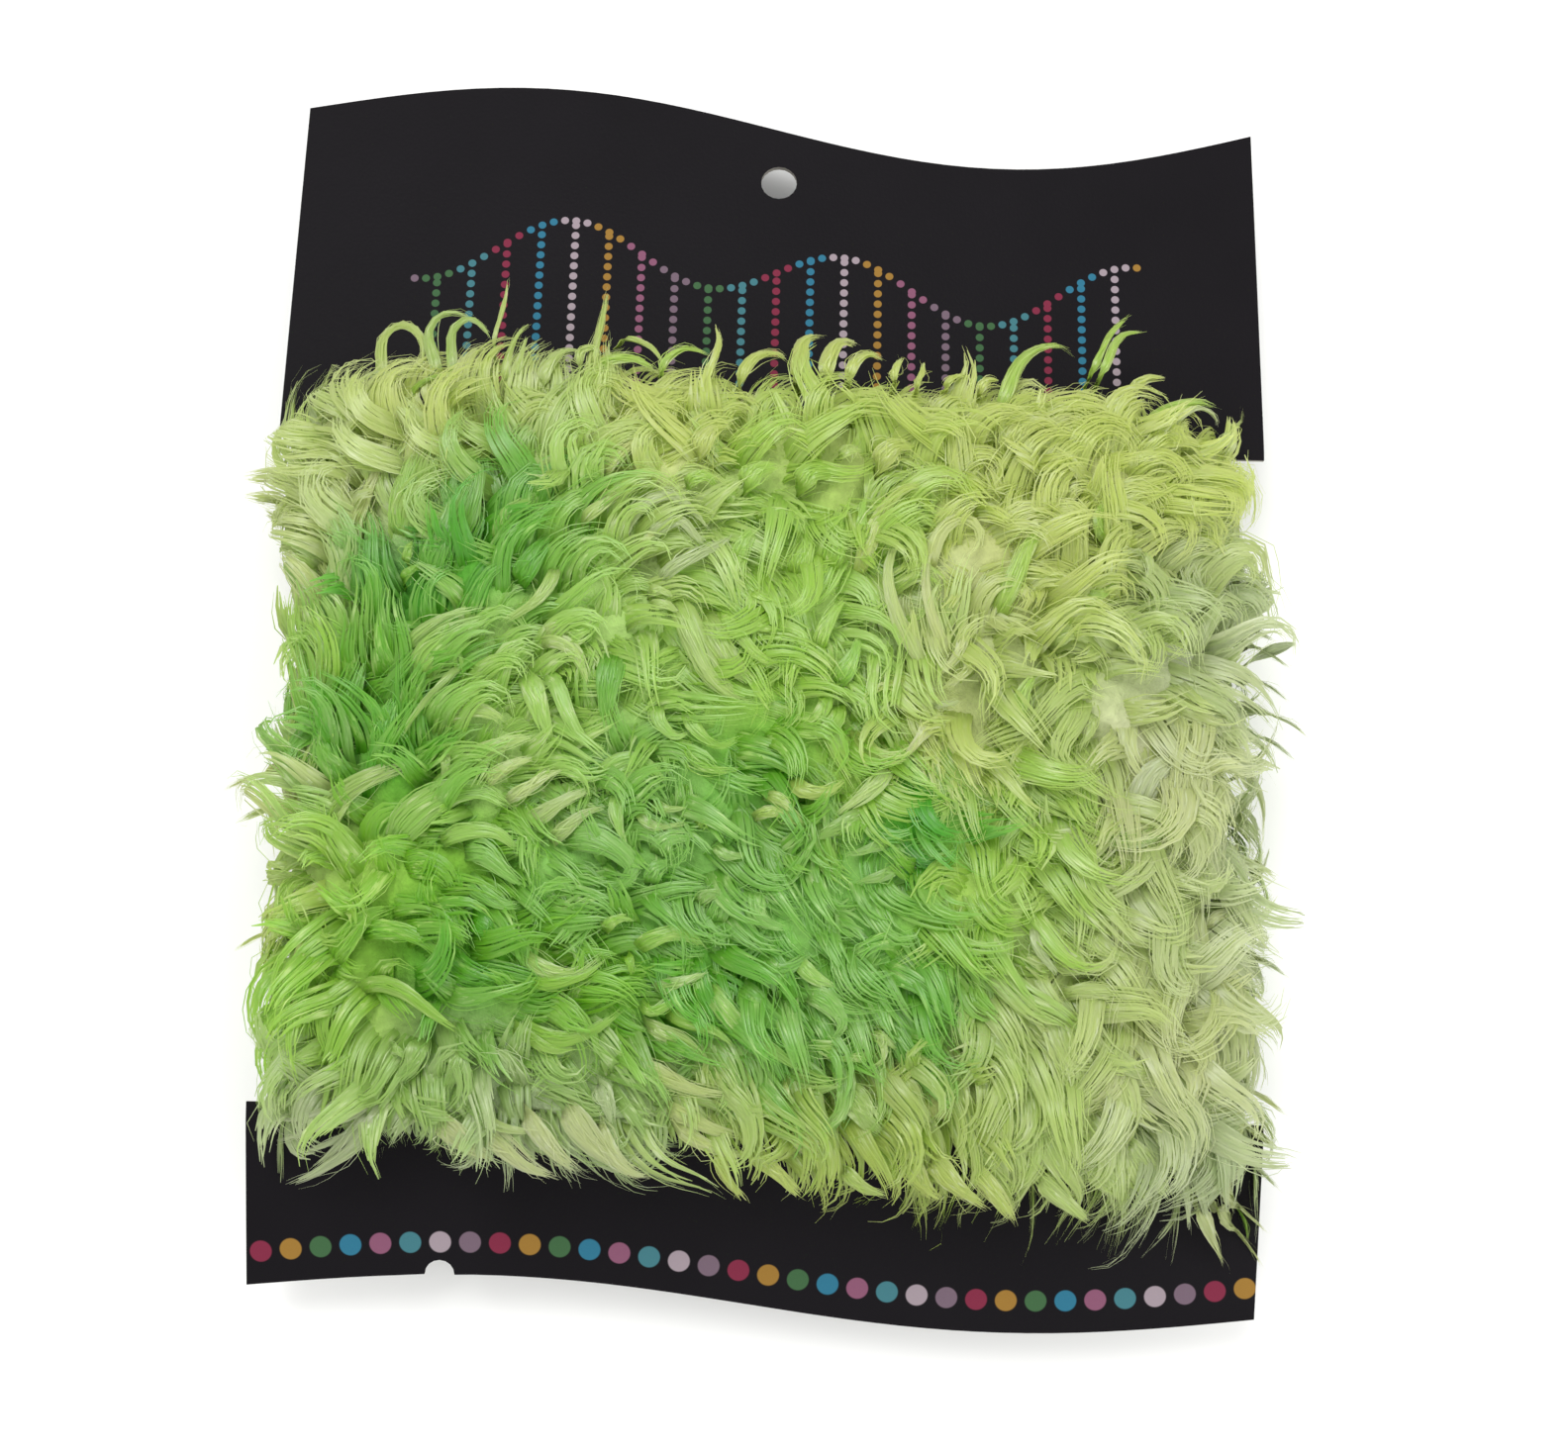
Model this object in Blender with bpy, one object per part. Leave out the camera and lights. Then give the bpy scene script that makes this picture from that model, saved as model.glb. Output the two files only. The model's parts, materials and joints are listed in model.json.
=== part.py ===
"""A shaggy faux fur trim wound flat round the waist of a die-cut card.

Metres. X runs across the card, Y up the card, and Z out of its front face. The origin is the middle of
the small flat spot on the fur's back, on which the whole thing lies.
"""

import math
import random

import bmesh
import bpy
from mathutils import Quaternion, Vector
from mathutils.bvhtree import BVHTree

# Driving sizes
STRIP_WIDTH = 0.0762
CARD_WIDTH = 0.1143
CARD_THICKNESS = 0.0006
CARD_HEIGHT = 0.0150
NOTCH_DEPTH = 0.0140
HEADER_LENGTH = 0.0428
FOOTER_LENGTH = 0.0219
FUR_HALF_WIDTH = 0.0535
FUR_FRONT_DEPTH = 0.0168
FUR_BACK_DEPTH = 0.0154

# Card: the ends lean back from the waist, and each end is cut along a wave
HEADER_BEND = math.radians(10.3)
FOOTER_BEND = math.radians(13.0)
FOLD_RADIUS = 0.012
WAVE_STEPS = 40
HEADER_WAVE = {"swing": 0.0046, "sag": 0.0012, "tilt": -0.0003}
FOOTER_WAVE = {"swing": 0.00235, "sag": 0.0003, "tilt": -0.00065}
HOLE_RADIUS = 0.00215
HOLE_UP = 0.0726
HOLE_SIDES = 20
NICK_RADIUS = 0.0017
NICK_X = -0.0353
NICK_SIDES = 8
BEND_ROWS = 4

# Sleeve: how its mesh is divided, and how far it keeps from the card
FRONT_PITCH = 0.0024
BACK_PITCH = 0.0046
ROW_PITCH = 0.0024
SQUARENESS = 2.7
SLOT_SQUARENESS = 8
SLOT_SIDE_GAP = 0.0011
SLOT_FACE_GAP = 0.0006
SHOULDER_GAP = 0.0005
SHOULDER_CLEAR = 0.0028
RIM_RISE = 0.0045
RIM_RINGS = (0.30, 0.60, 0.86)
CROWN = 0.17
END_CORNER = 0.05

# Pile: clumps raised in the face, in rows that overlap like shingles
CLUMP_SPACING = 0.0078
CLUMP_LENGTH = 0.0125
CLUMP_HALF_WIDTH = 0.0040
CLUMP_RISE = 0.0042
CLUMP_TIP = 0.2
CLUMP_LEAN = 0.45
BACK_CLUMP_RISE = 0.0022
BACK_WAY = -90
JITTER = 0.32
SEED = 2

# The way the pile lies on the front: a place on it, and the direction there in degrees from +X towards +Y
COMBING = (
    {"x": -0.046, "y": 0.034, "way": 130},
    {"x": -0.020, "y": 0.038, "way": 100},
    {"x": 0.015, "y": 0.038, "way": 75},
    {"x": 0.044, "y": 0.034, "way": 50},
    {"x": -0.032, "y": 0.020, "way": 75},
    {"x": -0.022, "y": 0.014, "way": 45},
    {"x": -0.035, "y": 0.008, "way": 30},
    {"x": -0.020, "y": 0.003, "way": -70},
    {"x": -0.008, "y": 0.020, "way": -60},
    {"x": -0.004, "y": 0.006, "way": -45},
    {"x": -0.010, "y": -0.006, "way": -20},
    {"x": 0.010, "y": -0.010, "way": -60},
    {"x": 0.018, "y": 0.018, "way": -110},
    {"x": 0.034, "y": 0.014, "way": -140},
    {"x": -0.040, "y": -0.014, "way": -150},
    {"x": -0.022, "y": -0.021, "way": -30},
    {"x": 0.000, "y": -0.034, "way": -50},
    {"x": 0.025, "y": -0.024, "way": -80},
    {"x": 0.046, "y": -0.010, "way": -85},
    {"x": -0.044, "y": -0.038, "way": -130},
    {"x": 0.044, "y": -0.038, "way": -75},
)
COMBING_REACH = 0.012

# Locks: how far those at the rims reach past the rim at each place along it
TOP_REACH = (
    {"x": -0.054, "reach": 0.0050},
    {"x": -0.046, "reach": 0.0070},
    {"x": -0.037, "reach": 0.0095},
    {"x": -0.028, "reach": 0.0075},
    {"x": -0.019, "reach": 0.0105},
    {"x": -0.008, "reach": 0.0070},
    {"x": 0.013, "reach": 0.0065},
    {"x": 0.035, "reach": 0.0072},
    {"x": 0.050, "reach": 0.0065},
)
BOTTOM_REACH = (
    {"x": -0.050, "reach": 0.0085},
    {"x": -0.043, "reach": 0.0050},
    {"x": -0.036, "reach": 0.0035},
    {"x": -0.017, "reach": 0.0070},
    {"x": 0.000, "reach": 0.0075},
    {"x": 0.012, "reach": 0.0080},
    {"x": 0.026, "reach": 0.0085},
    {"x": 0.038, "reach": 0.0075},
    {"x": 0.050, "reach": 0.0090},
)
BACK_REACH = 0.0035
SIDE_REACH = 0.0055
FACE_REACH = 0.0095

# Each lock's root, its taper from one section to the next, and how it sets off from its face
LOCK_ROOT = 0.0032
LOCK_TAPER = (1.05, 0.80, 0.0)
LOCK_LIFT = 1.1
LOCK_STRAY = 0.4
LENGTH_STRAY = 0.15
RIM_SPLAY = 0.3
RIM_STRAY = 0.1
SIDE_SPLAY = 0.9
FRONT_DROOP = -0.1
BACK_DROOP = 0.05
FACE_STAND = 0.1
SWAY = 0.34
SWAY_PITCH = 0.057
HOOK = 1.1
HOOK_PITCH = 0.085

# Which faces of the sleeve may grow a lock, and the room that each lock needs
RIM_LOCK_ROWS = (2, 3, 4)
LOCK_SHOULDER_CLEAR = 0.0045
SIDE_BAND = 0.0075
SIDE_LOCK_TOP = 0.030
FACE_LOCK_LOW = 0.0135
FACE_LOCK_TOP = 0.033
FACE_LOCK_APART = 0.0125
LOCK_EVERY = 2
LOCK_APART = 1.7
LOCK_CLEAR = 0.0017

FUR_FINISH = {"colour": (0.42, 0.66, 0.20, 1.0), "roughness": 0.6}
CARD_FINISH = {"colour": (0.012, 0.011, 0.014, 1.0), "roughness": 0.5}
FUR_CREASE = math.radians(75)
CARD_CREASE = math.radians(40)

STRIP_HALF = STRIP_WIDTH / 2
CARD_HALF = CARD_WIDTH / 2
WAIST_HALF = CARD_HALF - NOTCH_DEPTH

FRONT = "front"
BACK = "back"


def remove_old_objects():
    for obj in list(bpy.data.objects):
        bpy.data.objects.remove(obj, do_unlink=True)


def plain_material(name, finish):
    material = bpy.data.materials.new(name)
    material.use_nodes = True
    shader = material.node_tree.nodes["Principled BSDF"]
    shader.inputs["Base Color"].default_value = finish["colour"]
    shader.inputs["Roughness"].default_value = finish["roughness"]
    shader.inputs["Metallic"].default_value = 0.0
    return material


def object_of(name, bm, material, crease):
    """A named object made from this bmesh, shaded smooth up to the crease angle."""
    mesh = bpy.data.meshes.new(name)
    bm.to_mesh(mesh)
    bm.free()
    mesh.materials.append(material)
    mesh.shade_smooth()
    mesh.set_sharp_from_angle(angle=crease)
    obj = bpy.data.objects.new(name, mesh)
    bpy.context.scene.collection.objects.link(obj)
    return obj


def smooth_step(value, low, high):
    share = min(max((value - low) / (high - low), 0.0), 1.0)
    return share * share * (3 - 2 * share)


# Card

def wave_height(x, wave):
    """How far an end's wavy edge stands above its mean line at this x."""
    u = x / CARD_HALF
    return wave["tilt"] * u - wave["sag"] * (1 - u * u) - wave["swing"] * math.sin(math.pi * u)


def footer_edge(x):
    return wave_height(x, FOOTER_WAVE) - STRIP_HALF - FOOTER_LENGTH


def header_edge(x):
    return wave_height(x, HEADER_WAVE) + STRIP_HALF + HEADER_LENGTH


def half_round(x, y, radius, sides):
    """Points of a half circle from its left end over its top to its right end."""
    angles = (math.pi * (1 - i / sides) for i in range(sides + 1))
    return [(x + radius * math.cos(a), y + radius * math.sin(a)) for a in angles]


def card_outline():
    """The flat card's outline, anticlockwise from the bottom left corner."""
    steps = [CARD_HALF * (2 * i / WAVE_STEPS - 1) for i in range(WAVE_STEPS + 1)]
    clear_of_nick = 1.6 * NICK_RADIUS
    left_of_nick = [(x, footer_edge(x)) for x in steps if x < NICK_X - clear_of_nick]
    right_of_nick = [(x, footer_edge(x)) for x in steps if x > NICK_X + clear_of_nick]
    nick = half_round(NICK_X, footer_edge(NICK_X), NICK_RADIUS, NICK_SIDES)
    right_notch = [
        (CARD_HALF, -STRIP_HALF),
        (WAIST_HALF, -STRIP_HALF),
        (WAIST_HALF, STRIP_HALF),
        (CARD_HALF, STRIP_HALF),
    ]
    top = [(x, header_edge(x)) for x in reversed(steps)]
    left_notch = [(-x, y) for x, y in reversed(right_notch)]
    return left_of_nick + nick + right_of_nick + right_notch + top + left_notch


def hole_outline():
    angles = [2 * math.pi * i / HOLE_SIDES for i in range(HOLE_SIDES)]
    return [(HOLE_RADIUS * math.cos(a), HOLE_UP + HOLE_RADIUS * math.sin(a)) for a in angles]


def closed_loop(bm, points):
    verts = [bm.verts.new((x, y, 0.0)) for x, y in points]
    return [bm.edges.new((verts[i - 1], verts[i])) for i in range(len(verts))]


def leaned_back(point, bend, sense):
    """A flat card's point carried round the soft fold where an end leans back. sense is +1 up, -1 down."""
    past_fold = point.y * sense - STRIP_HALF
    if past_fold <= 0:
        return point
    turn = min(past_fold / FOLD_RADIUS, bend)
    straight = past_fold - FOLD_RADIUS * turn
    run = FOLD_RADIUS * math.sin(turn) + straight * math.cos(turn) + point.z * math.sin(turn)
    drop = FOLD_RADIUS * (1 - math.cos(turn)) + straight * math.sin(turn)
    return Vector((point.x, sense * (STRIP_HALF + run), point.z * math.cos(turn) - drop))


def make_card():
    bm = bmesh.new()
    edges = closed_loop(bm, card_outline()) + closed_loop(bm, hole_outline())
    bmesh.ops.triangle_fill(bm, edges=edges, use_beauty=True)
    for sense, bend in ((1, HEADER_BEND), (-1, FOOTER_BEND)):
        for row in range(BEND_ROWS + 1):
            y = sense * (STRIP_HALF + FOLD_RADIUS * bend * row / BEND_ROWS)
            parts = bm.verts[:] + bm.edges[:] + bm.faces[:]
            bmesh.ops.bisect_plane(bm, geom=parts, plane_co=(0, y, 0), plane_no=(0, 1, 0))
    bmesh.ops.translate(bm, verts=bm.verts, vec=(0, 0, -CARD_THICKNESS / 2))
    raised = bmesh.ops.extrude_face_region(bm, geom=bm.faces[:])["geom"]
    top = [part for part in raised if isinstance(part, bmesh.types.BMVert)]
    bmesh.ops.translate(bm, verts=top, vec=(0, 0, CARD_THICKNESS))
    for vert in bm.verts:
        vert.co = leaned_back(vert.co, HEADER_BEND, 1)
        vert.co = leaned_back(vert.co, FOOTER_BEND, -1)
    bmesh.ops.recalc_face_normals(bm, faces=bm.faces)
    card = object_of("card", bm, plain_material("board", CARD_FINISH), CARD_CREASE)
    card.location = (0, 0, CARD_HEIGHT)
    return card


# Sleeve of wound fur

def girdle(angle, half_width, front, back, squareness):
    """A point on a rounded oblong in the X and Z of the card's middle, as (x, z)."""
    c = math.cos(angle)
    s = math.sin(angle)
    depth = front if s >= 0 else back
    x = half_width * math.copysign(abs(c) ** (2 / squareness), c)
    z = depth * math.copysign(abs(s) ** (2 / squareness), s)
    return x, z


def girdle_columns():
    """Angles of the mesh's columns, closer together on the front, each with its length along the girdle."""
    samples = 1440
    ring = [
        girdle(2 * math.pi * i / samples, FUR_HALF_WIDTH, FUR_FRONT_DEPTH, FUR_BACK_DEPTH, SQUARENESS)
        for i in range(samples + 1)
    ]
    lengths = [0.0]
    counts = [0.0]
    for (x0, z0), (x1, z1) in zip(ring, ring[1:]):
        step = math.hypot(x1 - x0, z1 - z0)
        pitch = FRONT_PITCH if z0 + z1 > 0 else BACK_PITCH
        lengths.append(lengths[-1] + step)
        counts.append(counts[-1] + step / pitch)
    wanted = round(counts[-1])
    columns = []
    sample = 0
    for column in range(wanted):
        while counts[sample] < counts[-1] * column / wanted:
            sample += 1
        columns.append({"angle": 2 * math.pi * sample / samples, "along": lengths[sample]})
    return columns, lengths[-1]


def way_at(x, y):
    """Direction in which the front's pile lies at this place, from the combing table."""
    total = Vector((0.0, 0.0))
    for row in COMBING:
        distance = math.hypot(x - row["x"], y - row["y"])
        weight = math.exp(-((distance / COMBING_REACH) ** 2))
        way = math.radians(row["way"])
        total += weight * Vector((math.cos(way), math.sin(way)))
    return math.atan2(total.y, total.x)


def make_clumps(around):
    """Clumps of pile in jittered rows over the whole girdle, as roots and directions on the unrolled face."""
    rng = random.Random(SEED)
    clumps = []
    across = round(around / CLUMP_SPACING)
    rows = round(STRIP_WIDTH / CLUMP_SPACING)
    for row in range(rows + 1):
        for column in range(across):
            along = (column + 0.5 * (row % 2) + rng.uniform(-JITTER, JITTER)) * around / across
            y = STRIP_WIDTH * (row / rows - 0.5) + rng.uniform(-JITTER, JITTER) * CLUMP_SPACING
            clumps.append({"along": along, "y": y, "lean": rng.uniform(-CLUMP_LEAN, CLUMP_LEAN)})
    return clumps


def clump_rise(clumps, around, along, x, y, side):
    """Height of the pile above the sleeve here: the tallest clump that covers this place."""
    if side == FRONT:
        base_way = way_at(x, y)
        most = CLUMP_RISE
    else:
        base_way = math.radians(BACK_WAY)
        most = BACK_CLUMP_RISE
    best = 0.0
    for clump in clumps:
        step = (along - clump["along"] + around / 2) % around - around / 2
        climb = y - clump["y"]
        if abs(step) > CLUMP_LENGTH or abs(climb) > CLUMP_LENGTH:
            continue
        # The front is unrolled from right to left, so a step along it is a step to -X
        way = base_way + clump["lean"]
        forward = (-step if side == FRONT else step) * math.cos(way) + climb * math.sin(way)
        sideways = (-step if side == FRONT else step) * math.sin(way) - climb * math.cos(way)
        share = forward / CLUMP_LENGTH
        spread = sideways / CLUMP_HALF_WIDTH
        if 0 <= share <= 1 and abs(spread) < 1:
            tip = min(1.0, (1 - share) / CLUMP_TIP)
            best = max(best, (0.3 + 0.7 * share) * math.sqrt((1 - spread * spread) * tip))
    return most * best


def ring_levels():
    """The sleeve's rings in order from the slot's top edge, over the rims and down the wall, to its bottom edge."""
    domes = {0.0: 0.0, RIM_RINGS[0]: 0.62, RIM_RINGS[1]: 1.0, RIM_RINGS[2]: 0.80}
    rows = round((STRIP_WIDTH - 2 * SHOULDER_GAP) / ROW_PITCH)
    top = [{"blend": blend, "level": 1.0, "dome": dome} for blend, dome in domes.items()]
    wall = [{"blend": 1.0, "level": 1 - 2 * row / rows, "dome": 0.0} for row in range(rows + 1)]
    bottom = [{"blend": blend, "level": -1.0, "dome": -dome} for blend, dome in reversed(domes.items())]
    return top + wall + bottom


def sleeve_point(ring, column, clumps, around):
    angle = column["angle"]
    level = ring["level"]
    blend = ring["blend"]
    crown = 1 - CROWN * abs(level) ** 2.5
    width = 1 - END_CORNER * level**4
    outer_x, outer_z = girdle(
        angle, FUR_HALF_WIDTH * width, FUR_FRONT_DEPTH * crown, FUR_BACK_DEPTH * crown, SQUARENESS
    )
    slot_depth = CARD_THICKNESS / 2 + SLOT_FACE_GAP
    slot_x, slot_z = girdle(angle, WAIST_HALF + SLOT_SIDE_GAP, slot_depth, slot_depth, SLOT_SQUARENESS)
    x = slot_x + blend * (outer_x - slot_x)
    z = slot_z + blend * (outer_z - slot_z)
    clear = smooth_step(abs(z), SHOULDER_CLEAR, 3 * SHOULDER_CLEAR)
    y = level * (STRIP_HALF - SHOULDER_GAP) + ring["dome"] * RIM_RISE * clear
    if blend > RIM_RINGS[0]:
        side = FRONT if z > 0 else BACK
        rise = blend * clump_rise(clumps, around, column["along"], outer_x, y, side)
        outward = Vector((outer_x / FUR_HALF_WIDTH**2, outer_z / FUR_FRONT_DEPTH**2)).normalized()
        x += rise * outward.x
        z += rise * outward.y
        y += math.copysign(rise * abs(ring["dome"]) * clear, level)
    return Vector((x, y, max(z, -CARD_HEIGHT)))


def reach_at(table, x):
    """Reach of the locks at this x, read between the table's places."""
    if x <= table[0]["x"]:
        return table[0]["reach"]
    for low, high in zip(table, table[1:]):
        if x <= high["x"]:
            share = (x - low["x"]) / (high["x"] - low["x"])
            return low["reach"] + share * (high["reach"] - low["reach"])
    return table[-1]["reach"]


def drift(place, pitch):
    """A slow swing along the sleeve, so that neighbouring locks lean and hook alike."""
    return math.sin(2 * math.pi * place / pitch)


def lock_path(root, normal, toward, length, hook):
    """Centres and directions of a lock's sections: it leaves its face, lies over toward its way and hooks."""
    start = (normal * LOCK_LIFT + toward).normalized()
    lean_axis = start.cross(toward)
    lean = start.angle(toward)
    steps = len(LOCK_TAPER)
    centre = root
    path = []
    for step in range(steps):
        share = (step + 0.5) / steps
        direction = start.copy()
        direction.rotate(Quaternion(lean_axis, lean * share))
        direction.rotate(Quaternion(normal, hook * share))
        centre = centre + direction * (length / steps)
        path.append((centre, direction))
    return path


def room_for(path, apart, grown, surface):
    """True where a lock along this path stands clear of the locks already grown and of the sleeve."""
    crowded = any((here - there).length < apart for here in path for there in grown)
    buried = any(surface.find_nearest(here)[3] < LOCK_CLEAR for here in path)
    return not crowded and not buried


def grow_lock(bm, face, toward, length, hook, grown, surface):
    """Draws a face out into a tapered lock of four sides that ends in a point, where there is room for it."""
    root = face.calc_center_median()
    before = face.normal.copy()
    path = lock_path(root, before, toward.normalized(), length, hook)
    centres = [centre for centre, _ in path]
    if not room_for(centres, LOCK_APART * math.sqrt(face.calc_area()), grown, surface):
        return
    grown.extend(centres)
    size = 1.0
    for taper, (centre, direction) in zip(LOCK_TAPER[:-1], path):
        face = bmesh.ops.extrude_discrete_faces(bm, faces=[face])["faces"][0]
        was = face.calc_center_median()
        turn = before.rotation_difference(direction)
        for vert in face.verts:
            vert.co = centre + taper / size * (turn @ (vert.co - was))
        before = direction
        size = taper
    tip = bmesh.ops.poke(bm, faces=[face])["verts"][0]
    tip.co = path[-1][0]


def grow_rim_locks(bm, grid, rings, columns, grown, surface, rng):
    """Locks in three staggered rows round both rims, longer on the front."""
    last = len(rings) - 2
    for sense, table in ((1, TOP_REACH), (-1, BOTTOM_REACH)):
        for row in RIM_LOCK_ROWS:
            ring = row if sense > 0 else last - row
            for column in range(len(columns)):
                face = grid[ring, column]
                place = face.calc_center_median()
                front = place.z > 0
                if (column + row) % LOCK_EVERY or abs(place.z) < LOCK_SHOULDER_CLEAR:
                    continue
                reach = reach_at(table, place.x) if front else BACK_REACH
                aside = RIM_SPLAY * place.x / FUR_HALF_WIDTH + SWAY * drift(place.x, SWAY_PITCH)
                aside += rng.uniform(-RIM_STRAY, RIM_STRAY)
                toward = Vector((aside, sense, FRONT_DROOP if front else BACK_DROOP))
                length = (reach + LOCK_ROOT) * rng.uniform(1 - LENGTH_STRAY, 1 + LENGTH_STRAY)
                hook = HOOK * drift(place.x + sense * SWAY_PITCH / 3, HOOK_PITCH)
                grow_lock(bm, face, toward, length, hook, grown, surface)


def grow_side_locks(bm, grid, grown, surface, rng):
    """Locks down both sides, which lie outward and downward."""
    for (ring, column), face in list(grid.items()):
        place = face.calc_center_median()
        beside = abs(place.z) < SIDE_BAND and abs(place.x) > WAIST_HALF
        if not beside or abs(place.y) > SIDE_LOCK_TOP or ring % 2:
            continue
        toward = Vector((math.copysign(SIDE_SPLAY, place.x), -1, FACE_STAND))
        length = SIDE_REACH * rng.uniform(1 - LENGTH_STRAY, 1 + LENGTH_STRAY)
        hook = HOOK * drift(place.y, HOOK_PITCH)
        grow_lock(bm, grid.pop((ring, column)), toward, length, hook, grown, surface)


def grow_face_locks(bm, grid, grown, surface, rng):
    """Raised locks scattered over the front, lying the way the pile is combed."""
    taken = []
    faces = list(grid.values())
    rng.shuffle(faces)
    for face in faces:
        place = face.calc_center_median()
        if place.z < FACE_LOCK_LOW or abs(place.y) > FACE_LOCK_TOP:
            continue
        if any((place - other).length < FACE_LOCK_APART for other in taken):
            continue
        taken.append(place)
        way = way_at(place.x, place.y) + rng.uniform(-LOCK_STRAY, LOCK_STRAY)
        toward = Vector((math.cos(way), math.sin(way), FACE_STAND))
        length = FACE_REACH * rng.uniform(1 - LENGTH_STRAY, 1 + LENGTH_STRAY)
        grow_lock(bm, face, toward, length, rng.uniform(-HOOK, HOOK), grown, surface)


def make_sleeve():
    columns, around = girdle_columns()
    rings = ring_levels()
    clumps = make_clumps(around)
    bm = bmesh.new()
    verts = [
        [bm.verts.new(sleeve_point(ring, column, clumps, around)) for column in columns] for ring in rings
    ]
    grid = {}
    for ring in range(len(rings)):
        above = verts[ring]
        below = verts[(ring + 1) % len(rings)]
        for column in range(len(columns)):
            after = (column + 1) % len(columns)
            corners = (above[column], below[column], below[after], above[after])
            grid[ring, column] = bm.faces.new(corners)
    bmesh.ops.recalc_face_normals(bm, faces=bm.faces)
    rng = random.Random(SEED)
    first = RIM_LOCK_ROWS[-1] + 1
    last = len(rings) - 2 - first
    outside = {place: face for place, face in grid.items() if first <= place[0] <= last}
    surface = BVHTree.FromBMesh(bm)
    grown = []
    grow_rim_locks(bm, grid, rings, columns, grown, surface, rng)
    grow_side_locks(bm, outside, grown, surface, rng)
    grow_face_locks(bm, outside, grown, surface, rng)
    for vert in bm.verts:
        vert.co.z = max(vert.co.z, -CARD_HEIGHT)
    sleeve = object_of("fur_wrap", bm, plain_material("pile", FUR_FINISH), FUR_CREASE)
    sleeve.location = (0, 0, CARD_HEIGHT)
    return sleeve


remove_old_objects()
make_card()
make_sleeve()
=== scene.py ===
"""Looks of a shaggy, dip-dyed fur trim wound flat round a printed card with wavy ends.

Metres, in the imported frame: X runs across the card, Y up it and Z out of its front face.
"""

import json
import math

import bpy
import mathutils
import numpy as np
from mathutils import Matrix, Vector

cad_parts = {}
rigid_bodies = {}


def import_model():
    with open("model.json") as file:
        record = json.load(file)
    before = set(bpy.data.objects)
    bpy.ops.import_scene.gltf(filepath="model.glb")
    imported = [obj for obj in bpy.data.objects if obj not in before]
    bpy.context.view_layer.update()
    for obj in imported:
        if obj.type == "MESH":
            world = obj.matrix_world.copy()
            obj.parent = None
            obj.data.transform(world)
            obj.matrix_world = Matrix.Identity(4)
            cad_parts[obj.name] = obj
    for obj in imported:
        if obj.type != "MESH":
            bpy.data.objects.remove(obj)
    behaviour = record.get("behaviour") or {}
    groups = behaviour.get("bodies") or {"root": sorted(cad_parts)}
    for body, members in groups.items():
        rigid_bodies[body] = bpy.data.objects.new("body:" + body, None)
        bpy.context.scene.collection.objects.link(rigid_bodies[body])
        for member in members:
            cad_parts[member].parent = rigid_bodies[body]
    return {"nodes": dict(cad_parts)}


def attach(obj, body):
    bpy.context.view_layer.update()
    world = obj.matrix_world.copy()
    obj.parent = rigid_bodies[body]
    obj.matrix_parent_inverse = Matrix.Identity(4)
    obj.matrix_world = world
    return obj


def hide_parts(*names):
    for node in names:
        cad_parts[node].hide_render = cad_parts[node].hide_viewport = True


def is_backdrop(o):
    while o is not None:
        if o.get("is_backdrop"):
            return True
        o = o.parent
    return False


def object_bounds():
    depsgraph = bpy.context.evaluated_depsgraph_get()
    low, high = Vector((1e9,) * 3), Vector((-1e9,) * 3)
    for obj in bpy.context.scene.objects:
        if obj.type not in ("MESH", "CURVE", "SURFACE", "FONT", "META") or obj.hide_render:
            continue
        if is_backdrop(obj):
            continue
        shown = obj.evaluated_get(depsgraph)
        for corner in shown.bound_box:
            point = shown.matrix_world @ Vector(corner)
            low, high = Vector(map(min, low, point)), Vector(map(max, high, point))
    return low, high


bl_info = {
    "name": "Fur trim on a card",
    "version": (1, 0, 0),
    "blender": (4, 5, 0),
    "location": "3D View > Sidebar > Fur trim",
    "description": "Winds a strip of long curly pile round a card, combs it, dyes it and prints the card",
    "category": "Add Mesh",
}

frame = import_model()
CAD_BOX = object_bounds()
BODY = "root"
PILE_SLOT = "pile"

# The card, as it is cut and bent
CARD_HALF = 0.05715
WAIST_HALF = 0.04315
STRIP_HALF = 0.0381
CARD_HEIGHT = 0.0150
FOOTER_LENGTH = 0.0219
HEADER_BEND = math.radians(10.3)
FOOTER_BEND = math.radians(13.0)
FOLD_RADIUS = 0.012
FOOTER_WAVE = {"swing": 0.00235, "sag": 0.0003, "tilt": -0.00065}

# The wound stack: its inner turn clasps the card's waist, and the pile stands on its outer turn
INNER_TURN = {"half_width": WAIST_HALF + 0.0005, "front": 0.0010, "back": 0.0010, "squareness": 8.0}
OUTER_TURN = {"half_width": 0.0497, "front": 0.0106, "back": 0.0100, "squareness": 3.0}
FUR_FORM = {"half_width": 0.0535, "front": 0.0168, "back": 0.0154, "squareness": 2.7}
RIM_DROOP = 0.17
RIM_FALL = 0.40
FLOOR_CLEAR = 0.0003
GIRDLE_SAMPLES = 1440

# Hairs of a lock: broad soft ones inside it, pale ones painted lighter as shine, and strays
CORE_SHARE = 0.74
CORE_WIDTH = 2.9
CORE_END = 0.86
PAINTED_SHINE_SHARE = 0.08
FLY_SHARE = 0.07
WISPS = 5
LOCK_ROW = 0.004
CORE_TILT = math.radians(20)
HAIR_TILT = math.radians(12)
STATIONS = 24

# Locks beside the long ones on the front
UNDER_SPACING = 0.0041
UNDER_LENGTH = 0.0130
SIDE_SPACING = 0.0039
SIDE_LENGTH = 0.0125
BACK_SPACING = 0.0046
BACK_LENGTH = 0.0125
RIM_LOCKS = 300
RIM_BACK_LENGTH = 0.007

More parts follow.
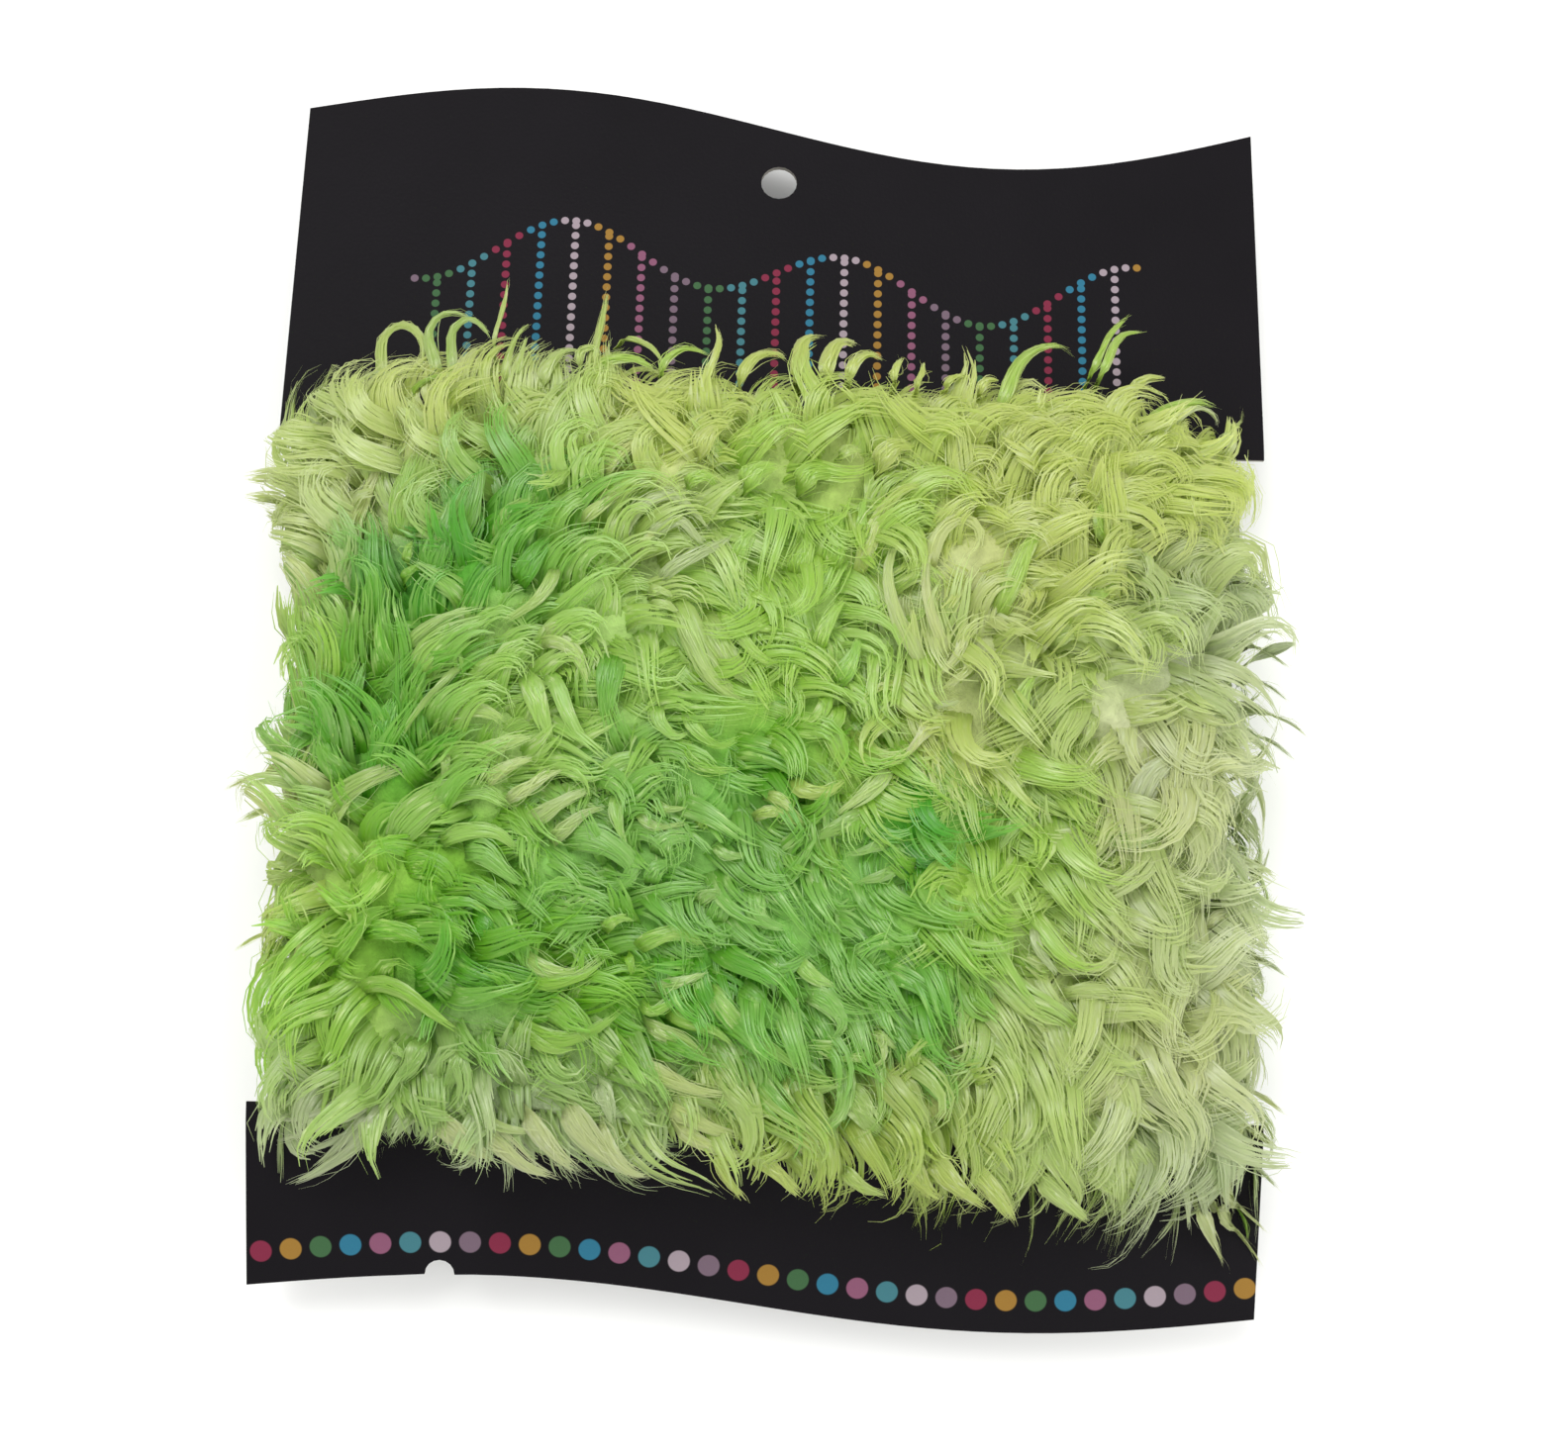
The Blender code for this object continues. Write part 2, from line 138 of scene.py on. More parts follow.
# Drawn locks: how deep their roots are sunk in the pile, and how far they arch and lie above it
DRAWN_SUNK = 0.0050
DRAWN_ARCH = 0.0009
DRAWN_CLEAR = 0.0004
DRAWN_LEAST_HAIRS = 6
DRAWN_HAIRS_A_METRE = 20500

# Colours of the light that comes through the hairs, where the dye is deep, lime and pale
PASSED_DYES = ((0.067, 0.50, 0.003, 1.0), (0.68, 0.84, 0.01, 1.0), (0.68, 0.72, 0.42, 1.0))

# Which way the front's pile lies and how it curls: x and y in millimetres, then degrees from +X towards +Y
COMBING = (
    (-50, 34, 140, -40), (-38, 36, 105, -110), (-26, 38, 95, -80), (-12, 37, 85, -110), (2, 37, 78, -100),
    (16, 37, 72, -90), (30, 36, 62, -100), (44, 34, 50, -110), (-47, 18, 85, 30), (-36, 24, 95, 40),
    (-24, 22, 65, -60), (-12, 26, 40, -120), (0, 26, -50, 50), (12, 24, -80, 60), (18, 16, 100, -120),
    (29, 20, 50, -120), (42, 18, 25, -100), (-30, 13, 42, -50), (-18, 14, 50, -90), (-8, 12, -50, 50),
    (4, 14, -70, -60), (-42, 6, 78, 30), (-33, 2, 52, -70), (-24, 4, 15, -90), (-16, 4, -70, 80),
    (-6, 2, -30, 90), (6, 1, -20, -110), (18, -1, -60, 70), (30, 4, -110, 60), (44, 4, -90, 50),
    (-46, -6, 150, 60), (-36, -10, 45, -100), (-24, -9, -30, -60), (-12, -9, 20, -150), (2, -12, -50, 70),
    (14, -12, -100, 80), (26, -12, -60, 90), (40, -10, -85, -50), (-46, -20, -140, 30),
    (-36, -19, 30, -110), (-24, -21, -10, 60), (-12, -22, 10, -60), (0, -24, -40, -30), (12, -24, -50, 40),
    (26, -24, -70, 70), (42, -22, -80, 50), (-44, -32, -125, 30), (-32, -32, -75, -40), (-18, -34, -55, 50),
    (-4, -36, -45, -40), (10, -36, -55, -50), (24, -36, -65, -40), (44, -36, -65, -30),
)
COMBING_REACH = 0.0062

# Dye on the front: x and y of its middle, its colour and how far it ran, in millimetres
DYE_PATCHES = (
    (-52, 32, "pale", 8), (-44, 30, "cream", 8), (-36, 38, "citrus", 8), (-40, 29, "lime", 4),
    (-27, 39, "pale", 6), (-30, 24, "leaf", 7), (-40, 18, "deep", 6), (-34, 22, "deep", 4),
    (-51, 16, "cream", 5), (-46, 13, "lime", 5), (-20, 27, "fresh", 6), (-12, 36, "citrus", 9),
    (-11, 24, "pale", 5), (-4, 28, "fresh", 5), (6, 28, "lime", 9), (10, 38, "citrus", 9),
    (28, 36, "citrus", 10), (47, 33, "citrus", 6), (18, 17, "cream", 5), (11, 14, "fresh", 6),
    (29, 22, "citrus", 7), (40, 14, "pale", 6), (52, 18, "white", 9), (55, 4, "white", 9),
    (-28, 12, "fresh", 7), (-14, 12, "fresh", 8), (-2, 10, "lime", 7), (28, 8, "pale", 8),
    (21, 5, "citrus", 6), (-40, 0, "leaf", 7), (-53, -4, "cream", 6), (-28, 2, "fresh", 7),
    (-14, -2, "jade", 6), (0, 1, "leaf", 5), (8, -2, "lime", 5), (16, -5, "deep", 4), (30, -4, "lime", 5),
    (42, 0, "cream", 8), (-46, -10, "lime", 6), (-33, -12, "grass", 6), (-20, -12, "jade", 6),
    (-6, -12, "jade", 8), (7, -14, "jade", 8), (23, -16, "lime", 6), (37, -14, "pale", 7),
    (50, -14, "white", 9), (-53, -18, "citrus", 5), (-46, -20, "grass", 6), (-32, -21, "leaf", 6),
    (-20, -23, "grass", 6), (-4, -24, "leaf", 7), (9, -24, "jade", 7), (18, -23, "leaf", 5),
    (30, -26, "pale", 8), (42, -24, "cream", 8), (-44, -30, "lime", 6), (-34, -32, "mint", 6),
    (-20, -34, "mint", 6), (-48, -38, "white", 6), (-24, -42, "white", 7), (-4, -34, "pale", 5),
    # The moss patches along the bottom are lime darkened as painted shade, where the lower rim faces away
    # from the light
    (4, -42, "shaded_lime", 7), (18, -40, "shaded_lime", 7), (32, -38, "pale", 7), (50, -40, "white", 8),
)

# Rims: x across the card and how far the locks reach past the strip's edge there, in millimetres
TOP_REACH = (
    (-54, 5), (-46, 7), (-37, 9), (-28, 8), (-19, 8.5), (-8, 7), (13, 6), (35, 7), (42, 5), (48, 1.5),
    (54, 0.5),
)
BOTTOM_REACH = (
    (-52, 1.5), (-44, 2), (-37, 3.5), (-30, 6.5), (-16.5, 8.5), (-12.5, 1), (-8.5, 1), (-5, 6.5), (0, 8),
    (12, 9.6), (26, 10.5), (36, 10.5), (50, 13.5),
)


# Locks that lie on top: dye, half width, and x and y of each place from root to tip, in millimetres
TOP_LOCKS = (
    ("fresh", 2, -38.4, 6.9, -36.6, 10.4, -33.4, 13.2, -29.4, 15.4),
    ("pale", 0.7, -40.8, 10, -37.3, 13.3, -33.3, 15.5, -29.9, 16.3),
    ("pale", 0.8, -23.1, 22.4, -23.1, 19.6, -24.6, 17, -26.9, 15.4, -28.8, 14.3),
    ("pale", 0.9, -25.7, 11.5, -23.2, 12.6, -21, 11.9, -19.4, 9.6, -18.7, 7.1),
    ("pale", 0.7, -25.3, 13, -22.1, 14.3, -18.6, 16.3),
    ("fresh", 1.5, -22.8, 12.6, -20.2, 13.5, -17.3, 15.5),
    ("leaf", 1.6, -16.2, 12.7, -16.7, 8.2, -16.9, 3.3), ("pale", 0.9, -21.4, 25.1, -17.8, 27.7, -14.7, 30),
    ("pale", 0.9, -20.2, 26.7, -16.8, 29.1, -13.9, 31.3, -11.9, 32.2),
    ("cream", 0.9, -18.7, 29.3, -16.7, 32.8, -14.5, 34.9, -12, 36.1),
    ("cream", 1.2, -47.2, 21.5, -46.1, 24.8, -44.5, 29.2, -42.7, 34.3, -42.1, 39.6),
    ("cream", 1, -49.2, 22.8, -48.2, 27.2, -47.1, 31.7, -46.4, 36.2),
    ("cream", 1.4, -54.2, 29, -52.5, 32.6, -50.2, 36.7, -47.6, 39),
    ("white", 0.45, -47.3, 31.2, -50.5, 36.6, -52.8, 40.3, -55.3, 44),
    ("fresh", 0.35, -41.8, 10.4, -42.3, 13.5, -42.2, 16.6),
    ("lime", 0.5, -40.2, 18.7, -39.1, 20, -37.6, 21.2),
    ("lime", 0.5, -39.6, 20.6, -39.1, 22.8, -38.7, 23.9),
    ("leaf", 1.8, -34.7, 22.2, -33.2, 26.6, -32.4, 31.1, -32.8, 34.6),
    ("leaf", 1.8, -37.2, 17.8, -36.3, 22.2, -35.2, 26.6, -35.2, 31.2),
    ("fresh", 1.2, -29.7, 22.2, -27.7, 26.6, -25.1, 28.9),
    ("leaf", 1.5, -27.3, 17.8, -25.3, 21.6, -23.3, 24.4),
    ("grass", 1.5, -40.3, 22.3, -40.2, 26.7, -39.7, 31.3, -38.8, 34.7),
    ("pale", 0.35, -31.2, 11.4, -33.6, 9, -36, 6.2, -38.2, 3.5, -39.6, 0.9),
    ("pale", 1, -35.4, 2.8, -33.3, 4.5, -30.2, 4.8, -27.2, 3.2),
    ("pale", 0.9, -32.8, -1.5, -29.9, 0.5, -26.7, 1.8, -23.7, 2.5),
    ("cream", 0.9, -31, -3.8, -28.2, -1.8, -25.5, -0.5, -23.6, -0.3),
    ("cream", 0.8, -28.6, -5.3, -25.4, -3.5, -22.7, -1.7, -20.4, -0.9),
    ("cream", 1, -25.8, -7.9, -23, -6, -20.1, -4.1, -17.3, -3),
    ("cream", 0.9, -23.3, -9.8, -20.8, -7.6, -18.3, -5.9, -16, -5.1),
    ("pale", 1.7, -51.5, -10.5, -48.5, -7.1, -45, -3.9, -41, -1.9, -36.6, -0.7),
    ("pale", 0.7, -47.3, -11.4, -45.6, -6.7, -43.4, -3.5),
    ("fresh", 2, -40.9, -11.9, -38.3, -7.6, -34.5, -4.7, -29.9, -3.8, -26.2, -6),
    ("fresh", 1, -36, -10.2, -31.7, -8.2, -28.5, -8, -24.6, -10.7),
    ("jade", 1.4, -33.2, -10, -29.4, -10.3, -26.8, -12.6, -24.6, -14),
    ("jade", 1.6, -23, -10.2, -19.1, -8.4, -15.4, -9.8, -13.7, -11.7, -15.5, -13.8, -17.6, -14.9),
    ("jade", 1.2, -32.1, -11.9, -29.7, -14.3, -27.3, -15.8, -24.5, -15.7),
    ("grass", 1.7, -39.7, -12.4, -36.5, -11.5, -33.5, -12.7, -32.3, -14.8),
    ("fresh", 0.9, -24.9, 11.1, -22.6, 8.1, -20.9, 4.4, -18.8, 1.5, -16.6, 0.9, -15.4, 1.8),
    ("fresh", 1.2, -26.8, 10.2, -24.7, 7, -23.3, 3.2, -22.8, 0.6),
    ("pale", 0.5, -34.2, 0.8, -33.9, -1.2, -34.2, -3),
    ("leaf", 1.6, -46.1, 0.5, -45.5, 4.8, -44.5, 8.1, -43.7, 11.3),
    ("leaf", 1.5, -48.9, -3.8, -48.2, 0.6, -47.9, 4.9, -47.3, 8.2),
    ("leaf", 1.4, -41.4, -0.6, -40.8, 3.7, -39.8, 6.9), ("pale", 0.7, -48.6, 8.2, -48.2, 10.4, -46.7, 12),
    ("cream", 1, -54.2, 8.2, -54.4, 2.5, -52.8, -3.5, -51.4, -8.1),
    ("lime", 0.9, -43, -27.5, -42.5, -25, -40.8, -24.4, -37.6, -25.1, -34.1, -27.5, -30.6, -29.9),
    ("pale", 1, -26.5, -19.5, -23.7, -21.7, -19.7, -22.9, -16.2, -20.3),
    ("lime", 0.8, -25.9, -22.4, -23.2, -23.8, -18.9, -23.3, -15.5, -20.9),
    ("lime", 1, -26.4, -26.5, -23.9, -28.9, -20.8, -29.8, -17, -28.5, -13.8, -26.1),
    ("lime", 0.7, -27, -27.5, -24.3, -29.3, -21.2, -30.9, -17.8, -30.4),
    ("grass", 1.2, -44.3, -19.9, -41.2, -18.8, -37.6, -19, -34.5, -20.5, -33.1, -22.8),
    ("grass", 1.5, -46.8, -23.7, -44.6, -19.9, -42.1, -17.2, -39, -16.1),
    ("mint", 0.6, -39.5, -30.8, -38, -31.6, -36.7, -32.4),
    ("mint", 1.3, -35.3, -29.2, -36.4, -32.4, -38.5, -35.1),
    ("mint", 1.3, -31, -30.1, -31.8, -33.3, -33, -35.9),
    ("lime", 1.2, -50.4, -26.5, -49.3, -29.1, -49.9, -32.4),
    ("grass", 1.6, -52.1, -21.1, -50.9, -16.8, -48.7, -13.5),
    ("citrus", 1.5, -55.3, -24.5, -54.8, -20.1, -52.5, -16.2),
    ("grass", 1.6, -35.8, -15, -33, -17.6, -31.3, -20.7), ("leaf", 1.4, -31.6, -17, -29.2, -18, -27, -20.6),
    ("white", 0.8, -38.9, -35.1, -39.8, -36.9, -40.9, -38.9, -43, -41.9, -47, -44.8, -52.4, -47.4),
    ("white", 0.4, -39.8, -36.9, -41.6, -39.1, -44.8, -41.1, -50.5, -43.5),
    ("white", 0.55, -39.4, -35.4, -42.9, -38.3, -46.9, -39.9, -54, -42.7),
    ("white", 0.4, -41.6, -35.7, -45.5, -37.8, -49, -39.1, -54, -39.8),
    ("white", 0.5, -40.2, -36.7, -42.9, -40.1, -45.9, -43, -49, -45.4),
    ("cream", 1.5, -35.2, -37.6, -32.5, -39.6, -29.8, -41.7, -27.2, -43.2),
    ("cream", 1.3, -29.8, -38.5, -26.6, -41.1, -23.9, -43.1, -20.4, -44.7),
    ("cream", 1.3, -25.5, -36.2, -22.9, -39.3, -20.7, -42, -18.1, -44),
    ("pale", 0.8, -29.8, -37.4, -26.6, -39.2, -22.9, -39.6),
    ("cream", 1.6, -21.3, -35.1, -18.6, -38.7, -15.8, -41.8, -12.3, -43.9),
    ("white", 1, -17.1, -33.4, -15.8, -36, -14.9, -39.1),
    ("cream", 1.1, -17.1, -37.1, -15.4, -41.3, -12.8, -43.8, -10.3, -44.2),
    ("white", 0.9, -15.2, 20.3, -15.7, 24.3, -13.7, 27.6, -10.5, 28.7, -7.8, 26.5, -5.1, 23.9),
    ("white", 0.8, -12.8, 17.8, -10.9, 20.2, -7.6, 22.3, -4.5, 24.1, -3.1, 25.3),
    ("white", 0.8, -13.7, 22.1, -12.1, 24.9, -9.8, 26, -7.4, 23.8, -5.4, 22.5),
    ("cream", 0.5, -14.6, 22.3, -13, 24, -12, 25.2),
    ("pale", 1.5, -12.8, 18.2, -9.7, 16.8, -7.6, 12.9, -5.2, 8.6, -2.2, 6.7, 0.5, 7.5),
    ("pale", 1.3, -7.8, 17.4, -5.6, 13.8, -2.9, 9.6, 0.3, 7.9),
    ("lime", 0.9, -6.4, 18.1, -3.1, 13.9, 0.1, 10.9, 3.7, 10.3),
    ("pale", 0.5, -13.4, 17.8, -11.5, 18.2, -9.7, 17.4), ("pale", 0.5, -13.3, 16.3, -11.8, 16.7, -9, 15.7),
    ("lime", 0.6, -3.3, 16.6, -1, 14.6, 2.7, 14.3), ("lime", 0.6, -2.7, 19.1, -0, 17.3, 2.6, 17.7),
    ("lime", 0.25, -2.7, 25.2, -1.3, 26.9, 3.2, 26.9, 7.4, 26.4),
    ("fresh", 1.2, -3.6, 20.9, -2.6, 23.9, -1.2, 26),
    ("citrus", 1.2, 9.2, 18.5, 10.4, 23.4, 12.6, 28.3, 15.8, 30.7, 18.6, 29.9),
    ("fresh", 0.9, 9, 22.7, 10, 26.3, 10.1, 29.6), ("lime", 1, 5.1, 11.1, 6.7, 15.4, 8.8, 18.3),
    ("lime", 1.6, 5.8, 20.1, 7.3, 24.5, 7.8, 28.4), ("lime", 1.4, 2.6, 19.4, 3.8, 22.8, 4.4, 25.6),
    ("grass", 1.2, 7.1, 7.7, 9, 10.9, 10, 14.2),
    ("lime", 0.9, -9.5, 29.1, -8.4, 30.7, -6.9, 31, -5.6, 29.7),
    ("lime", 1, -5.1, 28.1, -4.5, 29.2, -3.6, 29.9), ("lime", 1.3, -3.5, 29.3, -1.5, 31.8, 1.2, 32.8),
    ("pale", 0.8, 6.8, 33.4, 8.5, 34.4, 10.3, 34.5), ("citrus", 1.4, -8.5, 32.5, -7, 36, -4.3, 37.8),
    ("lime", 1.4, 2.4, 29.4, 4.5, 31.7, 7.7, 31.8), ("citrus", 1.5, 11, 31.9, 13.1, 34.9, 16.3, 35.5),
    ("cream", 0.8, 19.7, 8, 16.6, 11.4, 13.9, 16.3, 13, 21.9, 14.8, 25.5, 18.1, 26.8),
    ("cream", 0.7, 21.5, 9.2, 18.7, 13.4, 17, 18.8, 17.5, 23.7, 19.1, 26.6),
    ("cream", 0.8, 17.6, 18.8, 17.6, 23, 18.7, 25.8, 20.8, 27.2, 22.8, 26, 22.7, 23.9, 20.7, 22.4),
    ("cream", 0.6, 21.4, 16.7, 20.7, 12.4, 17.7, 9), ("cream", 0.5, 22.5, 13, 21.4, 10.2, 18.3, 8),
    ("white", 0.4, 17.2, 6.3, 19.4, 6.6, 21.3, 7.2), ("cream", 0.8, 18.3, 5.8, 16.8, 3.1, 14.8, 0.5),
    ("lime", 0.8, -8.8, 7.3, -7.6, 3.6, -4.6, 1.4, -1.7, 3),
    ("lime", 0.7, -9.2, 3.5, -7.5, 0.1, -4.8, -1, -1.9, -0.6),
    ("fresh", 0.8, -11.5, 7.2, -11.1, 4, -9.3, 2.4, -7.3, 3.4),
    ("fresh", 1, -17.7, -3.8, -16.8, -1.4, -13.8, -0.1, -11.3, -1.4, -9.8, -3.6),
    ("fresh", 1, -15.3, -5.1, -15.7, -2.5, -13.8, -1.1, -11.7, -2.4),
    ("pale", 0.6, -13.2, -3.5, -13.1, -5.8, -11.5, -7.2, -7.2, -6.5),
    ("pale", 0.5, -12.1, -3.7, -10.7, -5.1, -7.6, -5.1),
    ("fresh", 0.8, -14.8, -2.4, -15.6, -5.1, -15.1, -7.7, -13.9, -10.4),
    ("lime", 0.5, -7.3, -7.3, -5.7, -6.4, -4.5, -6.8), ("lime", 0.9, 7.6, 7.7, 7.8, 5.1, 5.7, 3, 2.5, 3.3),
    ("lime", 0.7, 6, 8.7, 6.5, 6.4, 5.3, 4.6, 2.9, 4.6),
    ("citrus", 0.9, 2.5, -0.7, 4.2, -2.8, 6.8, -3, 9.1, -1.5),
    ("pale", 1, 14.2, 0.9, 12.4, -1.8, 9.7, -4.2, 7.2, -6), ("mint", 0.9, 12.1, -4.7, 9, -6.3, 5.4, -8.2),
    ("mint", 0.6, 14.3, -7.8, 11.5, -9, 8.6, -9.9), ("citrus", 0.7, -0.6, -3.2, 1.6, -3.9, 4.9, -7),
    ("citrus", 0.6, -1.8, -6.3, 1.1, -5.3, 4.5, -6.8), ("mint", 0.6, -5.7, -8.3, -3.5, -10.1, -0.8, -9.7),
    ("mint", 0.7, -7.1, -15.9, -5.4, -14.3, -2.3, -14.2),
    ("mint", 0.7, 15.4, -10.1, 12.8, -11.8, 9.8, -12.7), ("jade", 1.2, -0.6, -12.1, 0.1, -16.3, 3.5, -17.7),
    ("jade", 1.3, -4.9, -18, -3.9, -15.3, -1.3, -13.7),
    ("jade", 1.4, -11.4, -10.8, -10.2, -8.7, -7.3, -8.1),
    ("jade", 1.2, -11.8, -13.9, -11.2, -11.8, -9.3, -10.7),
    ("lime", 1, -14.1, -20.9, -11.2, -19, -7.5, -18.6, -5.3, -20.3),
    ("pale", 0.6, -12.1, -24.4, -7.9, -23.4, -4.5, -22.1),
    ("lime", 0.6, -13.1, -24.9, -11.5, -26.5, -8.4, -25.1, -6.5, -24),
    ("lime", 0.4, -14.1, -20.3, -13.6, -21.5, -13.2, -23),
    ("lime", 0.6, -16.9, -18.8, -15, -16.9, -12.8, -16.9),
    ("pale", 0.9, -13.1, -27.3, -9.9, -28.7, -6.9, -30, -4.3, -32.7),
    ("lime", 0.8, -11, -26.2, -7.8, -27.4, -4.6, -28.4, -1.7, -30.6),
    ("fresh", 1.5, -6.9, -21.7, -4.5, -24.7, -1.7, -27.8, 2.2, -30.5, 6.2, -33.1),
    ("jade", 1.5, -3.2, -22.6, -0.5, -25.1, 2.7, -27.7, 5.9, -29.4),
    ("jade", 0.8, -0.1, -19.7, 2, -22, 5.8, -20), ("jade", 1.3, 3.6, -24, 7.2, -25, 9.1, -27.4, 7.8, -29.7),
    ("fresh", 0.9, 3.3, -20, 5.7, -22.4, 9.1, -24.1), ("pale", 0.6, 12.8, -31.1, 10.3, -30.9, 8.1, -31.2),
    ("pale", 0.45, 10.9, -28.6, 13, -29, 13.4, -30.9, 11.7, -32.2),
    ("pale", 0.5, 12.1, -27.8, 13.5, -28.8, 15.1, -30.2), ("mint", 0.9, 5.7, -32.3, 6.9, -36.5, 9.5, -40.4),
    ("pale", 0.25, 2.7, -32.8, 3.9, -35.7, 5.6, -36.9), ("mint", 1.8, 9.1, -33.3, 11.3, -36.4, 14, -39.5),
    ("pale", 1.5, 14.3, -32.1, 16.5, -35.2, 19.3, -38.3),
    ("cream", 1.2, -14.9, -31.5, -10.3, -33.1, -6.1, -34.7, -1.5, -35.2),
    ("cream", 1, -10.8, -35.3, -7.6, -37.3, -3.9, -39, 0, -39.8),
    ("citrus", 0.8, -3.9, -39.4, -3.1, -43.3, -0.2, -47.2),
    ("citrus", 1.2, -1.8, -39.6, 2, -43, 5.7, -46.6),
    ("cream", 0.9, -9.9, -37.3, -6.5, -39.8, -2.8, -41.4, 1.1, -41.5),
    ("pale", 0.9, 8.8, -41.7, 11.2, -44.4, 15.1, -45.8),
    ("citrus", 1.1, 15.9, -40.5, 17.9, -44.2, 20.5, -46.3),
    ("citrus", 1.5, 17.7, -39.9, 21.7, -44.2, 25.8, -47.1),
    ("citrus", 1.1, 22, -40.9, 26, -45.2, 28.8, -49), ("citrus", 1.3, 2.9, -37.6, 6.2, -40.7, 9.4, -43.3),
    ("lime", 1.1, 24.1, 14.4, 25.7, 18.5, 27.2, 22.3, 28.8, 25.5, 31.5, 26.5, 34.2, 24.7),
    ("lime", 0.6, 33.3, 19.4, 35.7, 19.1, 38.2, 21.2), ("white", 0.9, 46.5, 31.2, 47.1, 27.7, 45.1, 24),
    ("pale", 0.7, 40.6, 26, 41.7, 22.8, 40.9, 19.3), ("pale", 1, 30, 13.3, 32.5, 14.8, 35.6, 13.9),
    ("pale", 1, 37.4, 12, 40.6, 14.4, 45.4, 14.8), ("white", 1.1, 60.5, 16.6, 56.4, 15.2, 51.7, 11.1),
    ("white", 1.2, 48.3, 23.5, 52.4, 24, 55.5, 22.4, 54.8, 19),
    ("white", 1.1, 51.6, 20.1, 56, 17.8, 58.7, 16.8),
    ("citrus", 1.4, 26, 33.4, 26.8, 37, 29.5, 38.8, 32.8, 36.8),
    ("citrus", 1.2, 30.5, 28.2, 31.7, 31.7, 34.1, 34.1), ("lime", 1.2, 37.8, 24.2, 36.1, 28, 38.4, 31),
    ("lime", 0.9, 26.8, 3.8, 27.4, 7.7, 29.4, 11.1), ("pale", 0.5, 32.4, 8.5, 31.7, 5.8, 31, 3.5),
    ("pale", 0.5, 36.1, 7.1, 35, 4.3, 33.6, 1.6), ("pale", 0.8, 29.2, 3, 28.1, -0.2, 25.3, -3.8),
    ("mint", 0.9, 28.8, -2.7, 27.1, -5.8, 24.9, -9.1),
    ("white", 1.5, 39.3, -6.4, 40.7, -2.5, 42.3, 0.4, 45, 1.6, 47.4, 0.4, 50.7, -1.3),
    ("mint", 1.7, 43.8, -1.7, 42, -5.7, 38.5, -7.3, 34.9, -6.4),
    ("mint", 0.9, 30.1, -3.6, 33, -7.5, 35.7, -10.6, 39.2, -13),
    ("mint", 0.9, 30.5, -9, 31.9, -11.8, 33.2, -15), ("white", 0.7, 29, -15.2, 29.4, -18.7, 32.6, -22.6),
    ("cream", 1, 42.2, -7.3, 46.5, -5.4, 51.6, -2.7), ("white", 1.2, 48.6, 7.6, 52.4, 4, 57.8, 0.5),
    ("cream", 0.5, 48, -17.9, 49.5, -15.2, 52.9, -14.7, 55.2, -16.9),
    ("white", 0.5, 45.8, -23.3, 47.2, -19.8, 49.9, -18.4, 53, -20),
    ("pale", 0.9, 30.4, -24.7, 35.2, -23.3, 39.7, -24.4, 42.8, -27.4),
    ("pale", 1.4, 37.6, -27.2, 38.6, -30.6, 41.5, -32, 44.9, -30.7),
    ("white", 0.35, 45.6, -28.2, 49.2, -27.5, 52.3, -28.4, 55, -32.2, 56.4, -35.8),
    ("cream", 1.3, 41.9, -11.4, 44.2, -14.6, 47.2, -16.6), ("pale", 1.4, 34.2, -15.9, 37, -19, 40.9, -20.5),
    ("white", 1.2, 54.8, -8.4, 57, -11.7, 57.6, -15.7), ("white", 1.2, 54.2, -18.5, 55.6, -23, 55.4, -27.4),
    ("white", 0.8, 45.2, -39.1, 47, -44.6, 48.1, -50.2),
    ("white", 0.7, 47.2, -40.2, 49.1, -45.8, 50.5, -50.5),
    ("lime", 0.4, 53.1, -45.4, 55.2, -48.8, 56.1, -51.6),
    ("pale", 1.3, 29.4, -42.2, 33, -45.6, 37.1, -48.7), ("pale", 1.5, 34.9, -40.2, 38.4, -44, 41.9, -46.2),
    ("pale", 1.4, 39.1, -38, 42.8, -42.3, 45.9, -46.2), ("white", 1.2, 50, -37, 52.5, -41.5, 54.9, -45.9),
    ("pale", 0.8, -42.5, 39.3, -44.1, 45.3, -43.9, 48.5, -42.2, 49.6, -40.1, 48.2, -39.3, 45, -39.9, 42.4),
    ("mint", 0.6, -36.4, 40.4, -38, 45, -38.9, 48.6, -37.8, 50.7, -35.4, 50.9, -33.2, 49),
    ("mint", 0.6, -34.6, 40.3, -36.1, 45.6, -36.1, 48.8, -34.5, 50.2, -32.4, 48.7, -31.3, 46.5),
    ("pale", 0.2, -31.6, 44.6, -31.3, 48.2, -30.6, 51.8, -30.5, 56.7),
    ("pale", 0.5, -29.8, 40.3, -29.4, 46.1, -28.4, 48.8, -27.1, 50.1),
    ("pale", 0.3, -28.4, 41.1, -28, 45.6, -27.6, 48.8),
    ("pale", 0.35, -20, 41.6, -19.7, 46.7, -19.2, 50.8, -18.9, 54.7),
    ("pale", 0.45, -18.2, 48.1, -15.7, 47.4, -13.3, 46, -11.9, 44),
    ("lime", 0.7, -20.3, 42.1, -18.7, 44.5, -15.4, 44.9, -12.4, 43.2),
    ("pale", 0.8, -25.7, 40.3, -24.9, 43.9, -23.4, 45.8, -21, 46.1),
    ("pale", 0.5, -21.2, 42.4, -21.2, 45.9, -20, 46.3, -19.5, 43.3),
    ("pale", 0.2, -47.1, 40.3, -48, 43.1, -48.4, 45.5),
    ("white", 0.5, -47.7, 35.9, -47.1, 40.4, -46, 42.9, -43.5, 43.3, -41.2, 41.5),
    ("cream", 0.5, -42.9, 33.7, -42.3, 38.3, -42.4, 41.8),
    ("lime", 0.25, -40.8, 38, -39.9, 41.3, -37.8, 42.7, -34.4, 42.6, -31, 41.4),
